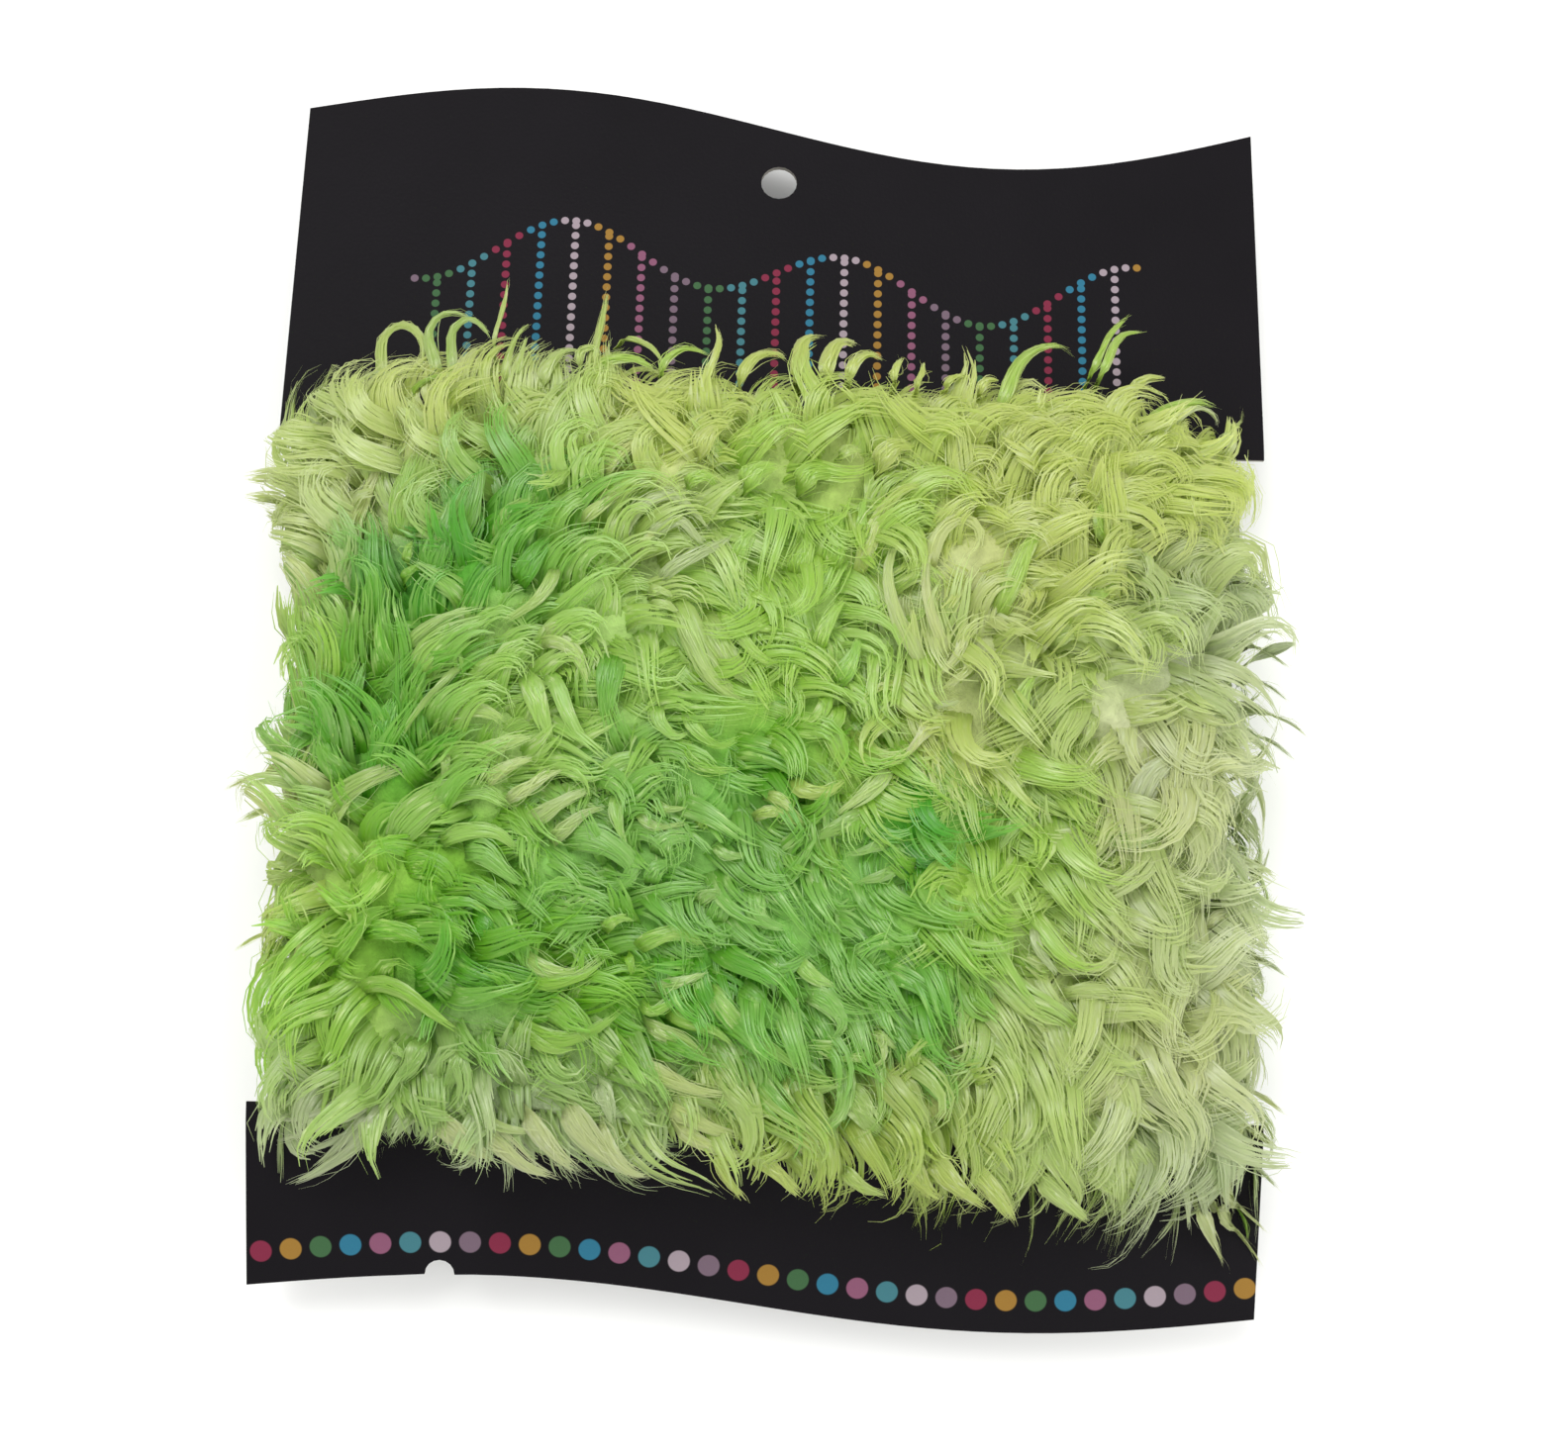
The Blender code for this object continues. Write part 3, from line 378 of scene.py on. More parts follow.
    ("cream", 0.5, -51.3, 36.6, -55.3, 39.9, -57.2, 39),
    ("cream", 1.3, -35.6, 38.1, -34.9, 42.5, -33.5, 45.9, -30.8, 46.9),
    ("lime", 0.7, -12.5, 41.7, -12.1, 44.8, -10.2, 46.3, -6.5, 45.7),
    ("citrus", 0.4, -8.5, 40.4, -7, 43.9, -6.1, 47.2, -6.8, 50.7),
    ("citrus", 0.7, -4, 40.7, -3.4, 43.6, -1.8, 45.7, 0.5, 46.1, 2.3, 44.8),
    ("citrus", 1, 2.7, 41.5, 2.9, 45.4, 3.6, 48, 6, 48.8),
    ("citrus", 1, 5.9, 41.6, 6.2, 45.5, 7.3, 47.6, 10.1, 47.4),
    ("citrus", 0.8, 8, 41.9, 8.9, 44.7, 10.6, 46.2, 12.7, 45.5),
    ("citrus", 0.5, 13.2, 42.1, 13.9, 45.3, 14.6, 46.4), ("citrus", 0.3, 15.5, 41.2, 16.4, 43.8, 17, 46.1),
    ("citrus", 0.6, 18.6, 41.4, 19.9, 43.6, 22.5, 44), ("citrus", 0.6, 22.4, 41.2, 23.6, 43.4, 25.5, 43.7),
    ("lime", 0.8, 24.3, 37.7, 25.8, 42, 27.3, 45.6, 29.6, 47.8, 32.2, 48.5, 34.2, 47),
    ("lime", 0.35, 35, 43.6, 36.4, 47.2, 38.3, 50.8, 41.2, 54.1),
    ("lime", 0.5, 36.1, 43.3, 37.5, 47.1, 39.4, 50.4, 42.7, 51.6),
    ("citrus", 0.6, 39.1, 42.5, 41.8, 45, 45, 45.6),
    ("lime", 0.8, 40.4, 35.3, 41.5, 38.1, 42.9, 40.1, 45.6, 42, 48.7, 42.9, 51.7, 42.6),
    ("white", 0.25, 44.3, 38.7, 46.1, 41.1, 48.3, 42.2, 50.4, 41.2, 50.4, 39.7),
    ("pale", 0.45, 46.2, 36.1, 49.5, 37.3, 52.4, 40.3, 54.6, 43.5, 54.2, 45),
    ("citrus", 1.3, 39.3, 34.2, 42.5, 36.9, 46.1, 37.6, 50.6, 36.3),
    ("white", 1.5, 51, 16.5, 56, 16, 60.5, 13.5), ("white", 1.6, 51, 12.5, 56.5, 12, 60.5, 9.5),
    ("white", 1.5, 52, 9.5, 57, 8.5, 60.5, 7, 63, 5), ("white", 1.4, 51.5, 6, 57, 5.5, 61, 3),
    ("cream", 1.3, 51, -7, 55.5, -8.5, 59, -10.5), ("cream", 1.3, 51, -17, 55, -18.5, 58.5, -21),
    ("cream", 1.2, 51, -21, 54.5, -22.5, 57.5, -24.5), ("cream", 1.4, 51, -36, 55.5, -38.5, 59.5, -41),
    ("cream", 1.4, 50, -43, 55, -47.5, 59, -51), ("cream", 1, 48, -45, 51, -50.5, 53.5, -54.5),
    ("white", 1.5, 51.5, -19, 56, -19.5, 60, -21.5), ("cream", 1.5, 51, -33, 56, -34.5, 60, -37),
    ("white", 1.5, 50.5, -38.5, 56, -42.5, 60, -46), ("cream", 1.3, 49.5, -45.5, 54.5, -50, 58.5, -55),
    ("cream", 1.6, -50.5, 31, -56, 33, -61.5, 33), ("cream", 1.5, -51, 28.5, -56.5, 30.5, -61, 31),
    ("cream", 1.3, -51.5, 25, -55.5, 27.5, -59, 29.5), ("cream", 1.5, -52, -1.5, -57, -1.5, -62, -3.5),
    ("pale", 1.3, -52, -5, -56.5, -5.5, -60, -7), ("citrus", 1.3, -52, -18, -56, -19.5, -59.5, -21.5),
)

# Sides: y up the strip, and how far out the pile stands on the left and on the right, in millimetres
SIDE_REACH = (
    (-46, 50, 57.5), (-37, 53.5, 58.5), (-25, 53.9, 57.2), (-20, 54.5, 58), (-13, 53, 59), (-8, 53, 59.2),
    (-4, 57.5, 58.2), (0, 55, 59), (4, 53, 61), (8, 52.8, 63), (17, 52.5, 60.5), (24, 53, 53),
    (29, 55.5, 50.8), (33, 57.5, 53), (37, 53, 51.5), (44, 48, 49),
)


def linear(code):
    """Linear red, green and blue of a colour written as six hex digits."""
    shares = [int(code[i : i + 2], 16) / 255 for i in (0, 2, 4)]
    return tuple(s / 12.92 if s <= 0.04045 else ((s + 0.055) / 1.055) ** 2.4 for s in shares)


def length_property(name, description, default):
    return bpy.props.FloatProperty(
        name=name, description=description, default=default, min=0.0, precision=5, unit="LENGTH"
    )


def colour_property(name, description, code):
    return bpy.props.FloatVectorProperty(
        name=name, description=description, default=linear(code), min=0.0, max=1.0, subtype="COLOR"
    )


def share_property(name, description, default):
    return bpy.props.FloatProperty(
        name=name, description=description, default=default, min=0.0, max=1.0, subtype="FACTOR"
    )


def count_property(name, description, default):
    return bpy.props.IntProperty(name=name, description=description, default=default, min=4)


def power_property(name, description, default):
    return bpy.props.FloatProperty(
        name=name, description=description, default=default, min=0.0, unit="POWER"
    )


class StripSettings(bpy.types.PropertyGroup):
    """The strip of backing cloth and how it is wound."""

    width: length_property("Strip width", "Width of the backing, from edge to edge", 0.0762)
    length: length_property("Strip length", "Length of the backing before it is wound", 2.7432)
    thickness: length_property("Backing thickness", "Thickness of the knitted backing", 0.0004)
    stray: length_property("Edge stray", "How far the turns' edges stray from one another", 0.0006)
    cloth: colour_property("Backing", "Colour of the knitted backing", "86A860")


class PileSettings(bpy.types.PropertyGroup):
    """The long pile: its locks and its hairs."""

    hair_width: length_property("Hair width", "Width of one strand of the pile", 0.00018)
    front_length: length_property("Front lock length", "Length of a lock on the front", 0.0178)
    spacing: length_property("Lock spacing", "Distance between the locks' roots on the front", 0.0028)
    lock_half_width: length_property("Lock half width", "Half the width of a lock", 0.0020)
    front_hairs: count_property("Hairs in a front lock", "Strands in each lock on the front", 17)
    rim_hairs: count_property("Hairs in a rim lock", "Strands in each lock at the rims", 12)
    back_hairs: count_property("Hairs in a back lock", "Strands in each lock on the back", 14)
    seed: bpy.props.IntProperty(name="Seed", description="Seed of the pile's small variations", default=7)
    # Root shade is painted shade: the dye is deeper and darker at the roots, where the pile lies in shade
    root_painted_shade: share_property("Root shade", "How much deeper the dye is at the roots", 0.06)
    # Tip fade is partly real fading and partly painted sheen
    tip_fade_and_sheen: share_property("Tip fade", "How much the tips have faded", 0.2)


class DyeSettings(bpy.types.PropertyGroup):
    """The dyes on the pile."""

    deep: colour_property("Deep green", "Where the dye took most", "49B60A")
    leaf: colour_property("Leaf green", "Strong green", "69BD1E")
    grass: colour_property("Grass green", "Yellowish strong green", "97D238")
    jade: colour_property("Jade", "Bluish green", "95CE58")
    fresh: colour_property("Fresh green", "Mid green", "BFE474")
    lime: colour_property("Lime", "Yellow green", "B4DA55")
    citrus: colour_property("Citrus", "Yellowish lime", "D7DE85")
    mint: colour_property("Mint", "Pale bluish green", "B0CE74")
    pale: colour_property("Pale lime", "Faded lime", "CADA88")
    cream: colour_property("Cream", "Faded yellowish white", "DCE0A6")
    white: colour_property("White", "Where hardly any dye took", "C8CFA8")
    # Moss is lime darkened as painted shade, for the lower rim, which faces away from the light
    shaded_lime: colour_property("Moss", "Dull lime of the lower rim", "BAC562")


class CardSettings(bpy.types.PropertyGroup):
    """The printed card."""

    black: colour_property("Black", "The card's black ground", "141215")
    core: colour_property("Core", "The board at the cut edges", "8E8A84")
    dot_pitch: length_property("Dot pitch", "Distance between the border's dots", 0.003376)
    dot_radius: length_property("Dot radius", "Radius of the border's dots", 0.00123)
    bead_pitch: length_property("Bead pitch", "Distance between the small dots of a string", 0.00134)
    bead_radius: length_property("Bead radius", "Radius of the small dots", 0.00047)
    string_pitch: length_property("String pitch", "Distance between the dotted strings", 0.00402)


class StageSettings(bpy.types.PropertyGroup):
    """The floor and the lights."""

    floor: colour_property("Floor", "Colour of the plain floor", "F4F4F2")
    key_power: power_property("Key light", "Power of the large soft light", 2.3)
    fill_power: power_property("Fill light", "Power of the fill light", 1.9)
    sky: bpy.props.FloatProperty(
        name="Room light", description="Strength of the even light of the room", default=0.96, min=0.0
    )


class Wire:
    """A shader socket that does arithmetic: each sign adds a Math node."""

    def __init__(self, tree, socket=None):
        self.tree = tree
        self.socket = socket

    def add(self, kind, settings, values, output=0):
        """A new node of this kind, with its settings made first and then its sockets fed."""
        node = self.tree.nodes.new(kind)
        for name, setting in settings.items():
            if name == "stops":
                set_stops(node.color_ramp, setting)
            else:
                setattr(node, name, setting)
        for name, value in values.items():
            if isinstance(value, Wire):
                self.tree.links.new(value.socket, node.inputs[name])
            else:
                node.inputs[name].default_value = value
        return Wire(self.tree, node.outputs[output])

    def maths(self, operation, *values):
        return self.add("ShaderNodeMath", {"operation": operation}, dict(enumerate(values)))

    def __add__(self, other):
        return self.maths("ADD", self, other)

    __radd__ = __add__

    def __mul__(self, other):
        return self.maths("MULTIPLY", self, other)

    __rmul__ = __mul__

    def __sub__(self, other):
        return self.maths("SUBTRACT", self, other)

    def __rsub__(self, other):
        return self.maths("SUBTRACT", other, self)

    def __truediv__(self, other):
        return self.maths("DIVIDE", self, other)

    def __abs__(self):
        return self.maths("ABSOLUTE", self)

    def __round__(self):
        return self.maths("ROUND", self)

    def __lt__(self, other):
        return self.maths("LESS_THAN", self, other)

    def __gt__(self, other):
        return self.maths("GREATER_THAN", self, other)

    def __mod__(self, other):
        return self.maths("FLOORED_MODULO", self, other)

    def least(self, other):
        return self.maths("MINIMUM", self, other)

    def most(self, other):
        return self.maths("MAXIMUM", self, other)

    def sine(self):
        return self.maths("SINE", self)

    def ramp(self, low, high):
        """A smooth step from 0 at low to 1 at high, or down again where low is the larger."""
        values = {0: self, 1: low, 2: high}
        return self.add("ShaderNodeMapRange", {"interpolation_type": "SMOOTHSTEP"}, values)

    def mixed(self, first, second):
        """Colour first where this is 0 and second where it is 1."""
        settings = {"data_type": "RGBA"}
        return self.add("ShaderNodeMix", settings, {0: self, 6: first, 7: second}, 2)

    def deepened(self, powers):
        """This colour with each of its channels raised to a power."""
        return self.add("ShaderNodeVectorMath", {"operation": "POWER"}, {0: self, 1: powers})

    def parts(self):
        split = self.add("ShaderNodeSeparateXYZ", {}, {0: self}).socket.node
        return [Wire(self.tree, output) for output in split.outputs]


def tinted(colour, shade):
    """A plain colour or a wire's colour, times a wire's shade of grey."""
    return shade.add("ShaderNodeVectorMath", {"operation": "SCALE"}, {0: colour, 3: shade})


def set_stops(ramp, colours):
    """Colour steps of equal width, with no blend between them."""
    ramp.interpolation = "CONSTANT"
    while len(ramp.elements) < len(colours):
        ramp.elements.new(1.0)
    for index, colour in enumerate(colours):
        ramp.elements[index].position = index / len(colours)
        ramp.elements[index].color = (*colour, 1.0)


def new_finish(name, roughness, specular=0.5):
    """A material, a wire to add its nodes with and its shader."""
    material = bpy.data.materials.new(name)
    material.use_nodes = True
    shader = material.node_tree.nodes["Principled BSDF"]
    shader.inputs["Roughness"].default_value = roughness
    shader.inputs["Specular IOR Level"].default_value = specular
    return material, Wire(material.node_tree), shader


def feed(shader, name, wire):
    wire.tree.links.new(wire.socket, shader.inputs[name])


def noted(wire, name, output):
    """What a mesh notes for each of its points under this name."""
    return wire.add("ShaderNodeAttribute", {"attribute_name": name}, {}, output)


def object_place(wire):
    return wire.add("ShaderNodeTexCoord", {}, {}, "Object")


def noise(wire, place, scale, detail=3.0, roughness=0.55):
    values = {"Vector": place, "Scale": scale, "Detail": detail, "Roughness": roughness}
    return wire.add("ShaderNodeTexNoise", {}, values, 0)


def raised(wire, height, distance):
    """A bump of this height, in metres, as a normal."""
    return wire.add("ShaderNodeBump", {}, {"Height": height, "Distance": distance})


# Pile


def unit(vectors):
    return vectors / np.maximum(np.linalg.norm(vectors, axis=-1, keepdims=True), 1e-12)


def smooth(values, low, high):
    share = np.clip((values - low) / (high - low), 0.0, 1.0)
    return share * share * (3 - 2 * share)


def girdle(angles, form):
    """Places on a rounded oblong in the X and Z of the card's middle."""
    c = np.cos(angles)
    s = np.sin(angles)
    power = 2 / form["squareness"]
    depth = np.where(s >= 0, form["front"], form["back"])
    x = form["half_width"] * np.sign(c) * np.abs(c) ** power
    z = depth * np.sign(s) * np.abs(s) ** power
    return x, z


def girdle_lengths(form):
    """Angles round the girdle and the length along it at each."""
    angles = np.linspace(0, 2 * np.pi, GIRDLE_SAMPLES + 1)
    x, z = girdle(angles, form)
    steps = np.hypot(np.diff(x), np.diff(z))
    return angles, np.concatenate([[0.0], np.cumsum(steps)])


def rim_drop(y):
    """How much shallower the wound stack is towards its rims, as a share of its depth."""
    return 1 - RIM_DROOP * np.abs(np.clip(y / STRIP_HALF, -1, 1)) ** 2.5


def outward(place):
    """The direction straight out of the fur at these places."""
    depth = place[:, 2] - CARD_HEIGHT
    reach = np.where(depth >= 0, OUTER_TURN["front"], OUTER_TURN["back"])
    power = FUR_FORM["squareness"] - 1
    nx = np.sign(place[:, 0]) * np.abs(place[:, 0] / OUTER_TURN["half_width"]) ** power
    nz = np.sign(depth) * np.maximum(np.abs(depth / reach), 0.02) ** power
    slope = 0.35 * np.sign(place[:, 1]) * np.abs(place[:, 1] / STRIP_HALF).clip(0, 1.2) ** 2.5
    normal = np.stack([nx / OUTER_TURN["half_width"], slope * np.abs(nz) / reach, nz / reach], -1)
    return unit(normal)


def nearness(x, y, middle_x, middle_y, run, least):
    """How much places count towards a middle: much within its run, and a little everywhere."""
    distance = np.hypot(x - middle_x, y - middle_y)
    return np.exp(-((distance / run) ** 2)) + least / (1 + (distance / 0.01) ** 4)


def combing_at(x, y):
    """The way and the curl of the front's pile at these places, in radians."""
    along = np.zeros((len(x), 2))
    curl = np.zeros(len(x))
    total = np.full(len(x), 1e-9)
    for middle_x, middle_y, way, turn in COMBING:
        weight = nearness(x, y, middle_x / 1000, middle_y / 1000, COMBING_REACH, 1e-4)
        way = math.radians(way)
        along += weight[:, None] * np.array([math.cos(way), math.sin(way)])
        curl += weight * math.radians(turn)
        total += weight
    return np.arctan2(along[:, 1], along[:, 0]), curl / total


def dye_at(x, y):
    """The dye at these places on the front, blended between the patches."""
    dyes = bpy.context.scene.dyes
    colour = np.zeros((len(x), 3))
    total = np.full(len(x), 1e-9)
    for middle_x, middle_y, dye, run in DYE_PATCHES:
        weight = nearness(x, y, middle_x / 1000, middle_y / 1000, run / 1000, 1e-5)
        colour += weight[:, None] * np.array(getattr(dyes, dye))
        total += weight
    return colour / total[:, None]


def read_table(table, place, column=1):
    """A column of a table in millimetres, read at these places along its first column."""
    rows = np.array(table) / 1000
    return np.interp(place, rows[:, 0], rows[:, column])


def lock_table(count, **qualities):
    """Locks with every quality at its plain value, apart from those that are given."""
    names = ("length", "curl", "hook", "swing", "phase", "rise", "rest", "bend", "flick", "light", "soft")
    plain = dict.fromkeys(names, 0.0)
    plain.update(waves=1.0, gather=0.85, neck=1.0, thick=0.4, glint=0.60, core=CORE_SHARE, fray=1.0)
    plain["width"] = bpy.context.scene.pile.lock_half_width
    plain.update(qualities)
    return {name: np.full(count, value) for name, value in plain.items()}


def vary(locks, rng, **limits):
    """Draws these qualities evenly between their limits, in the order they are named."""
    for name, (low, high) in limits.items():
        locks[name] = rng.uniform(low, high, len(locks["width"]))


def comb(locks, stations):
    """Centre lines of the locks as places, and the outward and sideways directions along them."""
    place = locks["root"].copy()
    way = locks["way"].copy()
    rise, rest, flick = [np.radians(locks[name]) for name in ("rise", "rest", "flick")]
    places = []
    normals = []
    sides = []
    for station in range(stations + 1):
        s = station / stations
        normal = outward(place)
        way = unit(way - (way * normal).sum(-1, keepdims=True) * normal)
        aside = np.cross(normal, way)
        swing = locks["swing"] * (np.sin(2 * np.pi * (s * locks["waves"] + locks["phase"])))
        heading = locks["curl"] * s**1.4 + locks["hook"] * smooth(s, 0.45, 1.0) + swing
        climb = rest + (rise - rest) * np.exp(-((s / locks["bend"]) ** 2))
        climb = climb + flick * s**3
        forward = np.cos(heading)[:, None] * way + np.sin(heading)[:, None] * aside
        direction = np.cos(climb)[:, None] * forward + np.sin(climb)[:, None] * normal
        direction = turned_in(place, direction)
        places.append(place)
        normals.append(normal)
        sides.append(unit(np.cross(normal, direction)))
        place = place + direction * (locks["length"] / stations)[:, None]
    return {"place": np.stack(places, 1), "normal": np.stack(normals, 1), "side": np.stack(sides, 1)}


def turned_in(place, direction):
    """These directions, turned down along the sides where the pile reaches its outline."""
    left = read_table(SIDE_REACH, place[:, 1], 1)
    right = read_table(SIDE_REACH, place[:, 1], 2)
    sense = np.sign(place[:, 0])
    room = np.where(sense > 0, right, left) - np.abs(place[:, 0])
    outward_part = np.maximum(direction[:, 0] * sense, 0)
    stop = smooth(-room, -0.0015, 0.0025)
    turned = direction.copy()
    turned[:, 0] -= stop * outward_part * sense
    turned[:, 1] -= 0.35 * stop * outward_part
    turned[:, 2] -= 0.65 * stop * outward_part
    return unit(turned)


def along_line(values, locks_of, shares, stations):
    """Values of the centre lines, read at each hair's shares of its lock's length."""
    at = shares * stations
    low = np.minimum(at.astype(int), stations - 1)
    part = (at - low)[..., None]
    rows = locks_of[:, None]
    return values[rows, low] * (1 - part) + values[rows, low + 1] * part


def face_height(x, y):
    """How high the fur's front face stands over these places."""
    power = FUR_FORM["squareness"]
    round_off = (1 - np.clip(np.abs(x) / FUR_FORM["half_width"], 0, 1) ** power) ** (1 / power)
    past = np.maximum(np.abs(y) - STRIP_HALF, 0)
    return CARD_HEIGHT + FUR_FORM["front"] * round_off * rim_drop(y) - RIM_FALL * past


def drawn_points(row):
    """The places noted for a drawn lock."""
    return np.reshape(row[2:], (-1, 2)) / 1000


def drawn_lines(paths, stations):
    """Centre lines through the places noted for each lock, rising out of the face and lying down on it."""
    share = np.linspace(0, 1, stations + 1)
    places = []
    for points in paths:
        steps = np.concatenate([[0.0], np.cumsum(np.linalg.norm(np.diff(points, axis=0), axis=1))])
        fine = rounded_path(points, steps / steps[-1], share)
        sunk = -DRAWN_SUNK * (1 - smooth(share, 0.0, 0.22))
        arch = DRAWN_ARCH * np.sin(np.pi * np.clip(share * 1.05 - 0.05, 0, 1)) + DRAWN_CLEAR
        past = np.maximum(-fine[:, 1] - STRIP_HALF, 0)
        card_top = CARD_HEIGHT - past * math.tan(FOOTER_BEND)
        z = np.maximum(face_height(fine[:, 0], fine[:, 1]) + sunk, card_top) + arch
        places.append(np.column_stack([fine, z]))
    place = np.stack(places)
    normal = outward(place.reshape(-1, 3)).reshape(place.shape)
    ahead = unit(np.gradient(place, axis=1))
    return {"place": place, "normal": normal, "side": unit(np.cross(normal, ahead))}


def rounded_path(points, knots, wanted):
    """A smooth curve through the points, read at the wanted shares of its length."""
    slopes = np.gradient(points, knots, axis=0)
    cell = np.clip(np.searchsorted(knots, wanted, side="right") - 1, 0, len(knots) - 2)
    span = (knots[cell + 1] - knots[cell])[:, None]
    t = (wanted[:, None] - knots[cell][:, None]) / span
    start = (2 * t**3 - 3 * t**2 + 1) * points[cell] + (t**3 - 2 * t**2 + t) * span * slopes[cell]
    end = (3 * t**2 - 2 * t**3) * points[cell + 1] + (t**3 - t**2) * span * slopes[cell + 1]
    return start + end


def hair_strips(locks, lines, hairs, levels, hair_width, rng):
    """Ribbons of hair on these locks, by hair and level: places, normals and what each point notes.

    A lock's hairs gather into wisps towards its tip. Broad core hairs lie over the crown of the lock,
    and the others are fine, painted paler as shine, or stray. Each wisp gets a painted glint at one level.
    """
    # Each hair's wisp, and its place across its lock
    stations = lines["place"].shape[1] - 1
    count = len(locks["width"])
    of = np.repeat(np.arange(count), hairs)
    total = len(of)
    wisp = rng.integers(0, WISPS, total) + of * WISPS
    spin = rng.uniform(0, 2 * np.pi, count * WISPS)
    spread = np.sqrt(rng.uniform(0.1, 1, count * WISPS)) * 0.75
    wisp_place = np.stack([np.cos(spin), np.sin(spin)], -1) * spread[:, None]
    wisp_end = rng.uniform(0.80, 1.0, count * WISPS)
    wisp_light = rng.normal(0, 0.05, count * WISPS)
    turn = rng.uniform(0, 2 * np.pi, total)
    radius = np.sqrt(rng.uniform(0, 1, total))
    own = np.stack([np.cos(turn), np.sin(turn)], -1) * radius[:, None]

    # Its kind, and how far it runs along its lock
    kind = rng.uniform(0, 1, total)
    soft = locks["soft"][of]
    core_share = locks["core"][of] * (1 - 0.6 * soft)
    core = kind < core_share
    fly = kind > 1 - FLY_SHARE - 0.06 * soft
    painted_shine = (kind > core_share) & (kind < core_share + PAINTED_SHINE_SHARE)
    own[:, 0] *= np.where(core, 0.85, 1.0)
    crown = 0.6 * np.sqrt(1 - np.minimum(own[:, 0] ** 2, 1.0))
    own[:, 1] = np.where(core, crown - 0.3 + 0.12 * own[:, 1], crown - 0.1 + 0.25 * np.abs(own[:, 1]))
    end = wisp_end[wisp] * rng.uniform(0.66, 1.0, total) * np.where(core, CORE_END, 1.0)
    end = 1 - (1 - end) * locks["fray"][of]
    steps = np.linspace(0, 1, levels + 1)[None, :]
    shares = steps * end[:, None]
    place = along_line(lines["place"], of, shares, stations)
    normal = unit(along_line(lines["normal"], of, shares, stations))
    side = unit(along_line(lines["side"], of, shares, stations))

    # Its way beside the lock's centre line
    gather = (smooth(shares, 0.1, 0.95) * locks["gather"][of][:, None])[..., None]
    offset = own[:, None, :] * (1 - gather) + wisp_place[wisp][:, None, :] * gather
    offset = offset + 0.22 * own[:, None, :] * gather
    neck = locks["neck"][of][:, None]
    taper = (1 - 0.72 * shares**2.2) * (neck + (1 - neck) * smooth(shares, 0.0, 0.4))
    size = (locks["width"][of] * np.where(fly, 1.5, 1.0))[:, None] * taper
    crimp = rng.uniform(0.00005, 0.00022, total) * np.where(fly, 4.0, np.where(core, 0.5, 1.0))
    beat = rng.uniform(0.8, 2.2, total)
    lag = rng.uniform(0, 1, (2, total))
    waves = [crimp[:, None] * np.sin(2 * np.pi * (shares * beat[:, None] + late[:, None])) for late in lag]
    fade = smooth(shares, 0.0, 0.3)
    sideways = offset[..., 0] * size + waves[0] * fade
    upward = offset[..., 1] * size * locks["thick"][of][:, None] + waves[1] * fade
    place = place + sideways[..., None] * side + upward[..., None] * normal

    # The faces of its ribbon, and the rounder form that its normals give it
    ahead = unit(np.gradient(place, axis=1))
    across = unit(np.cross(normal, ahead))
    facing = np.cross(ahead, across)
    roll = (rng.normal(0, 0.20, total) * (1 - 0.5 * soft) + 0.4 * own[:, 0])[:, None, None]
    across, facing = (
        np.cos(roll) * across + np.sin(roll) * facing,
        np.cos(roll) * facing - np.sin(roll) * across,
    )
    body = unit((0.45 - 0.25 * soft)[:, None, None] * offset[..., :1] * side + normal)
    shade = unit(0.25 * facing + body)
    shade = unit(shade - (shade * ahead).sum(-1, keepdims=True) * ahead)
    breadth = np.where(fly, 0.6, np.where(core, CORE_WIDTH, 1 + 0.4 * soft))
    width = hair_width * rng.uniform(0.7, 1.3, total) * breadth
    half = (width[:, None] / 2 * (1 - 0.85 * steps**2.5))[..., None]
    edges = np.stack([place - half * across, place + half * across], 2)
    edges[..., 2] = np.maximum(edges[..., 2], FLOOR_CLEAR)
    tilt = (np.where(core, CORE_TILT, HAIR_TILT) * (1 - 0.5 * soft))[:, None, None, None]
    lean = np.cos(tilt) * shade[:, :, None, :]
    cross = np.sin(tilt) * across[:, :, None, :] * np.array([-1.0, 1.0])[None, None, :, None]

    # How light it is, with painted light on shine and core hairs, where its painted glint lies, and the
    # streaks along it
    # Painted light: shine hairs are lighter as highlights, and core hairs lighter to offset the shade the
    # fine hairs cast on them
    own_tone_and_painted_light = rng.normal(0, 0.03, total) + np.where(painted_shine, 0.08, np.where(core, 0.04, 0.0))
    light = locks["light"][of] + (own_tone_and_painted_light + wisp_light[wisp]) * (1 - 0.4 * soft)
    crest = rng.normal(0.52, 0.17, count * WISPS)[wisp] * levels + rng.normal(0, 0.6, total)
    crest = np.clip(np.round(crest), 1, levels - 1)
    glint = locks["glint"][of] * rng.uniform(0, 1.6, count)[of]
    glint = glint * np.where(core, 0.8, rng.uniform(0.0, 1.2, total)) * (1 - 0.5 * soft)
    band = np.arange(levels + 1)[None, :] == crest[:, None]
    run = np.cumsum(np.linalg.norm(np.diff(place, axis=1, prepend=place[:, :1]), axis=2), axis=1)
    streak = np.empty((total, levels + 1, 2, 3))
    streak[..., 0] = half * 1000 * np.array([-1.0, 1.0]) + rng.uniform(0, 200, total)[:, None, None]
    streak[..., 1] = (run * 120)[:, :, None]
    streak[..., 2] = rng.uniform(0, 50, total)[:, None, None]
    return {
        "edges": edges,
        "normals": unit(lean + cross),
        "dye": locks["dye"][of],
        "along": shares,
        "tone": np.clip(0.5 + np.maximum(light, -0.08)[:, None] + glint[:, None] * band, 0, 1),
        "streak": streak,
    }


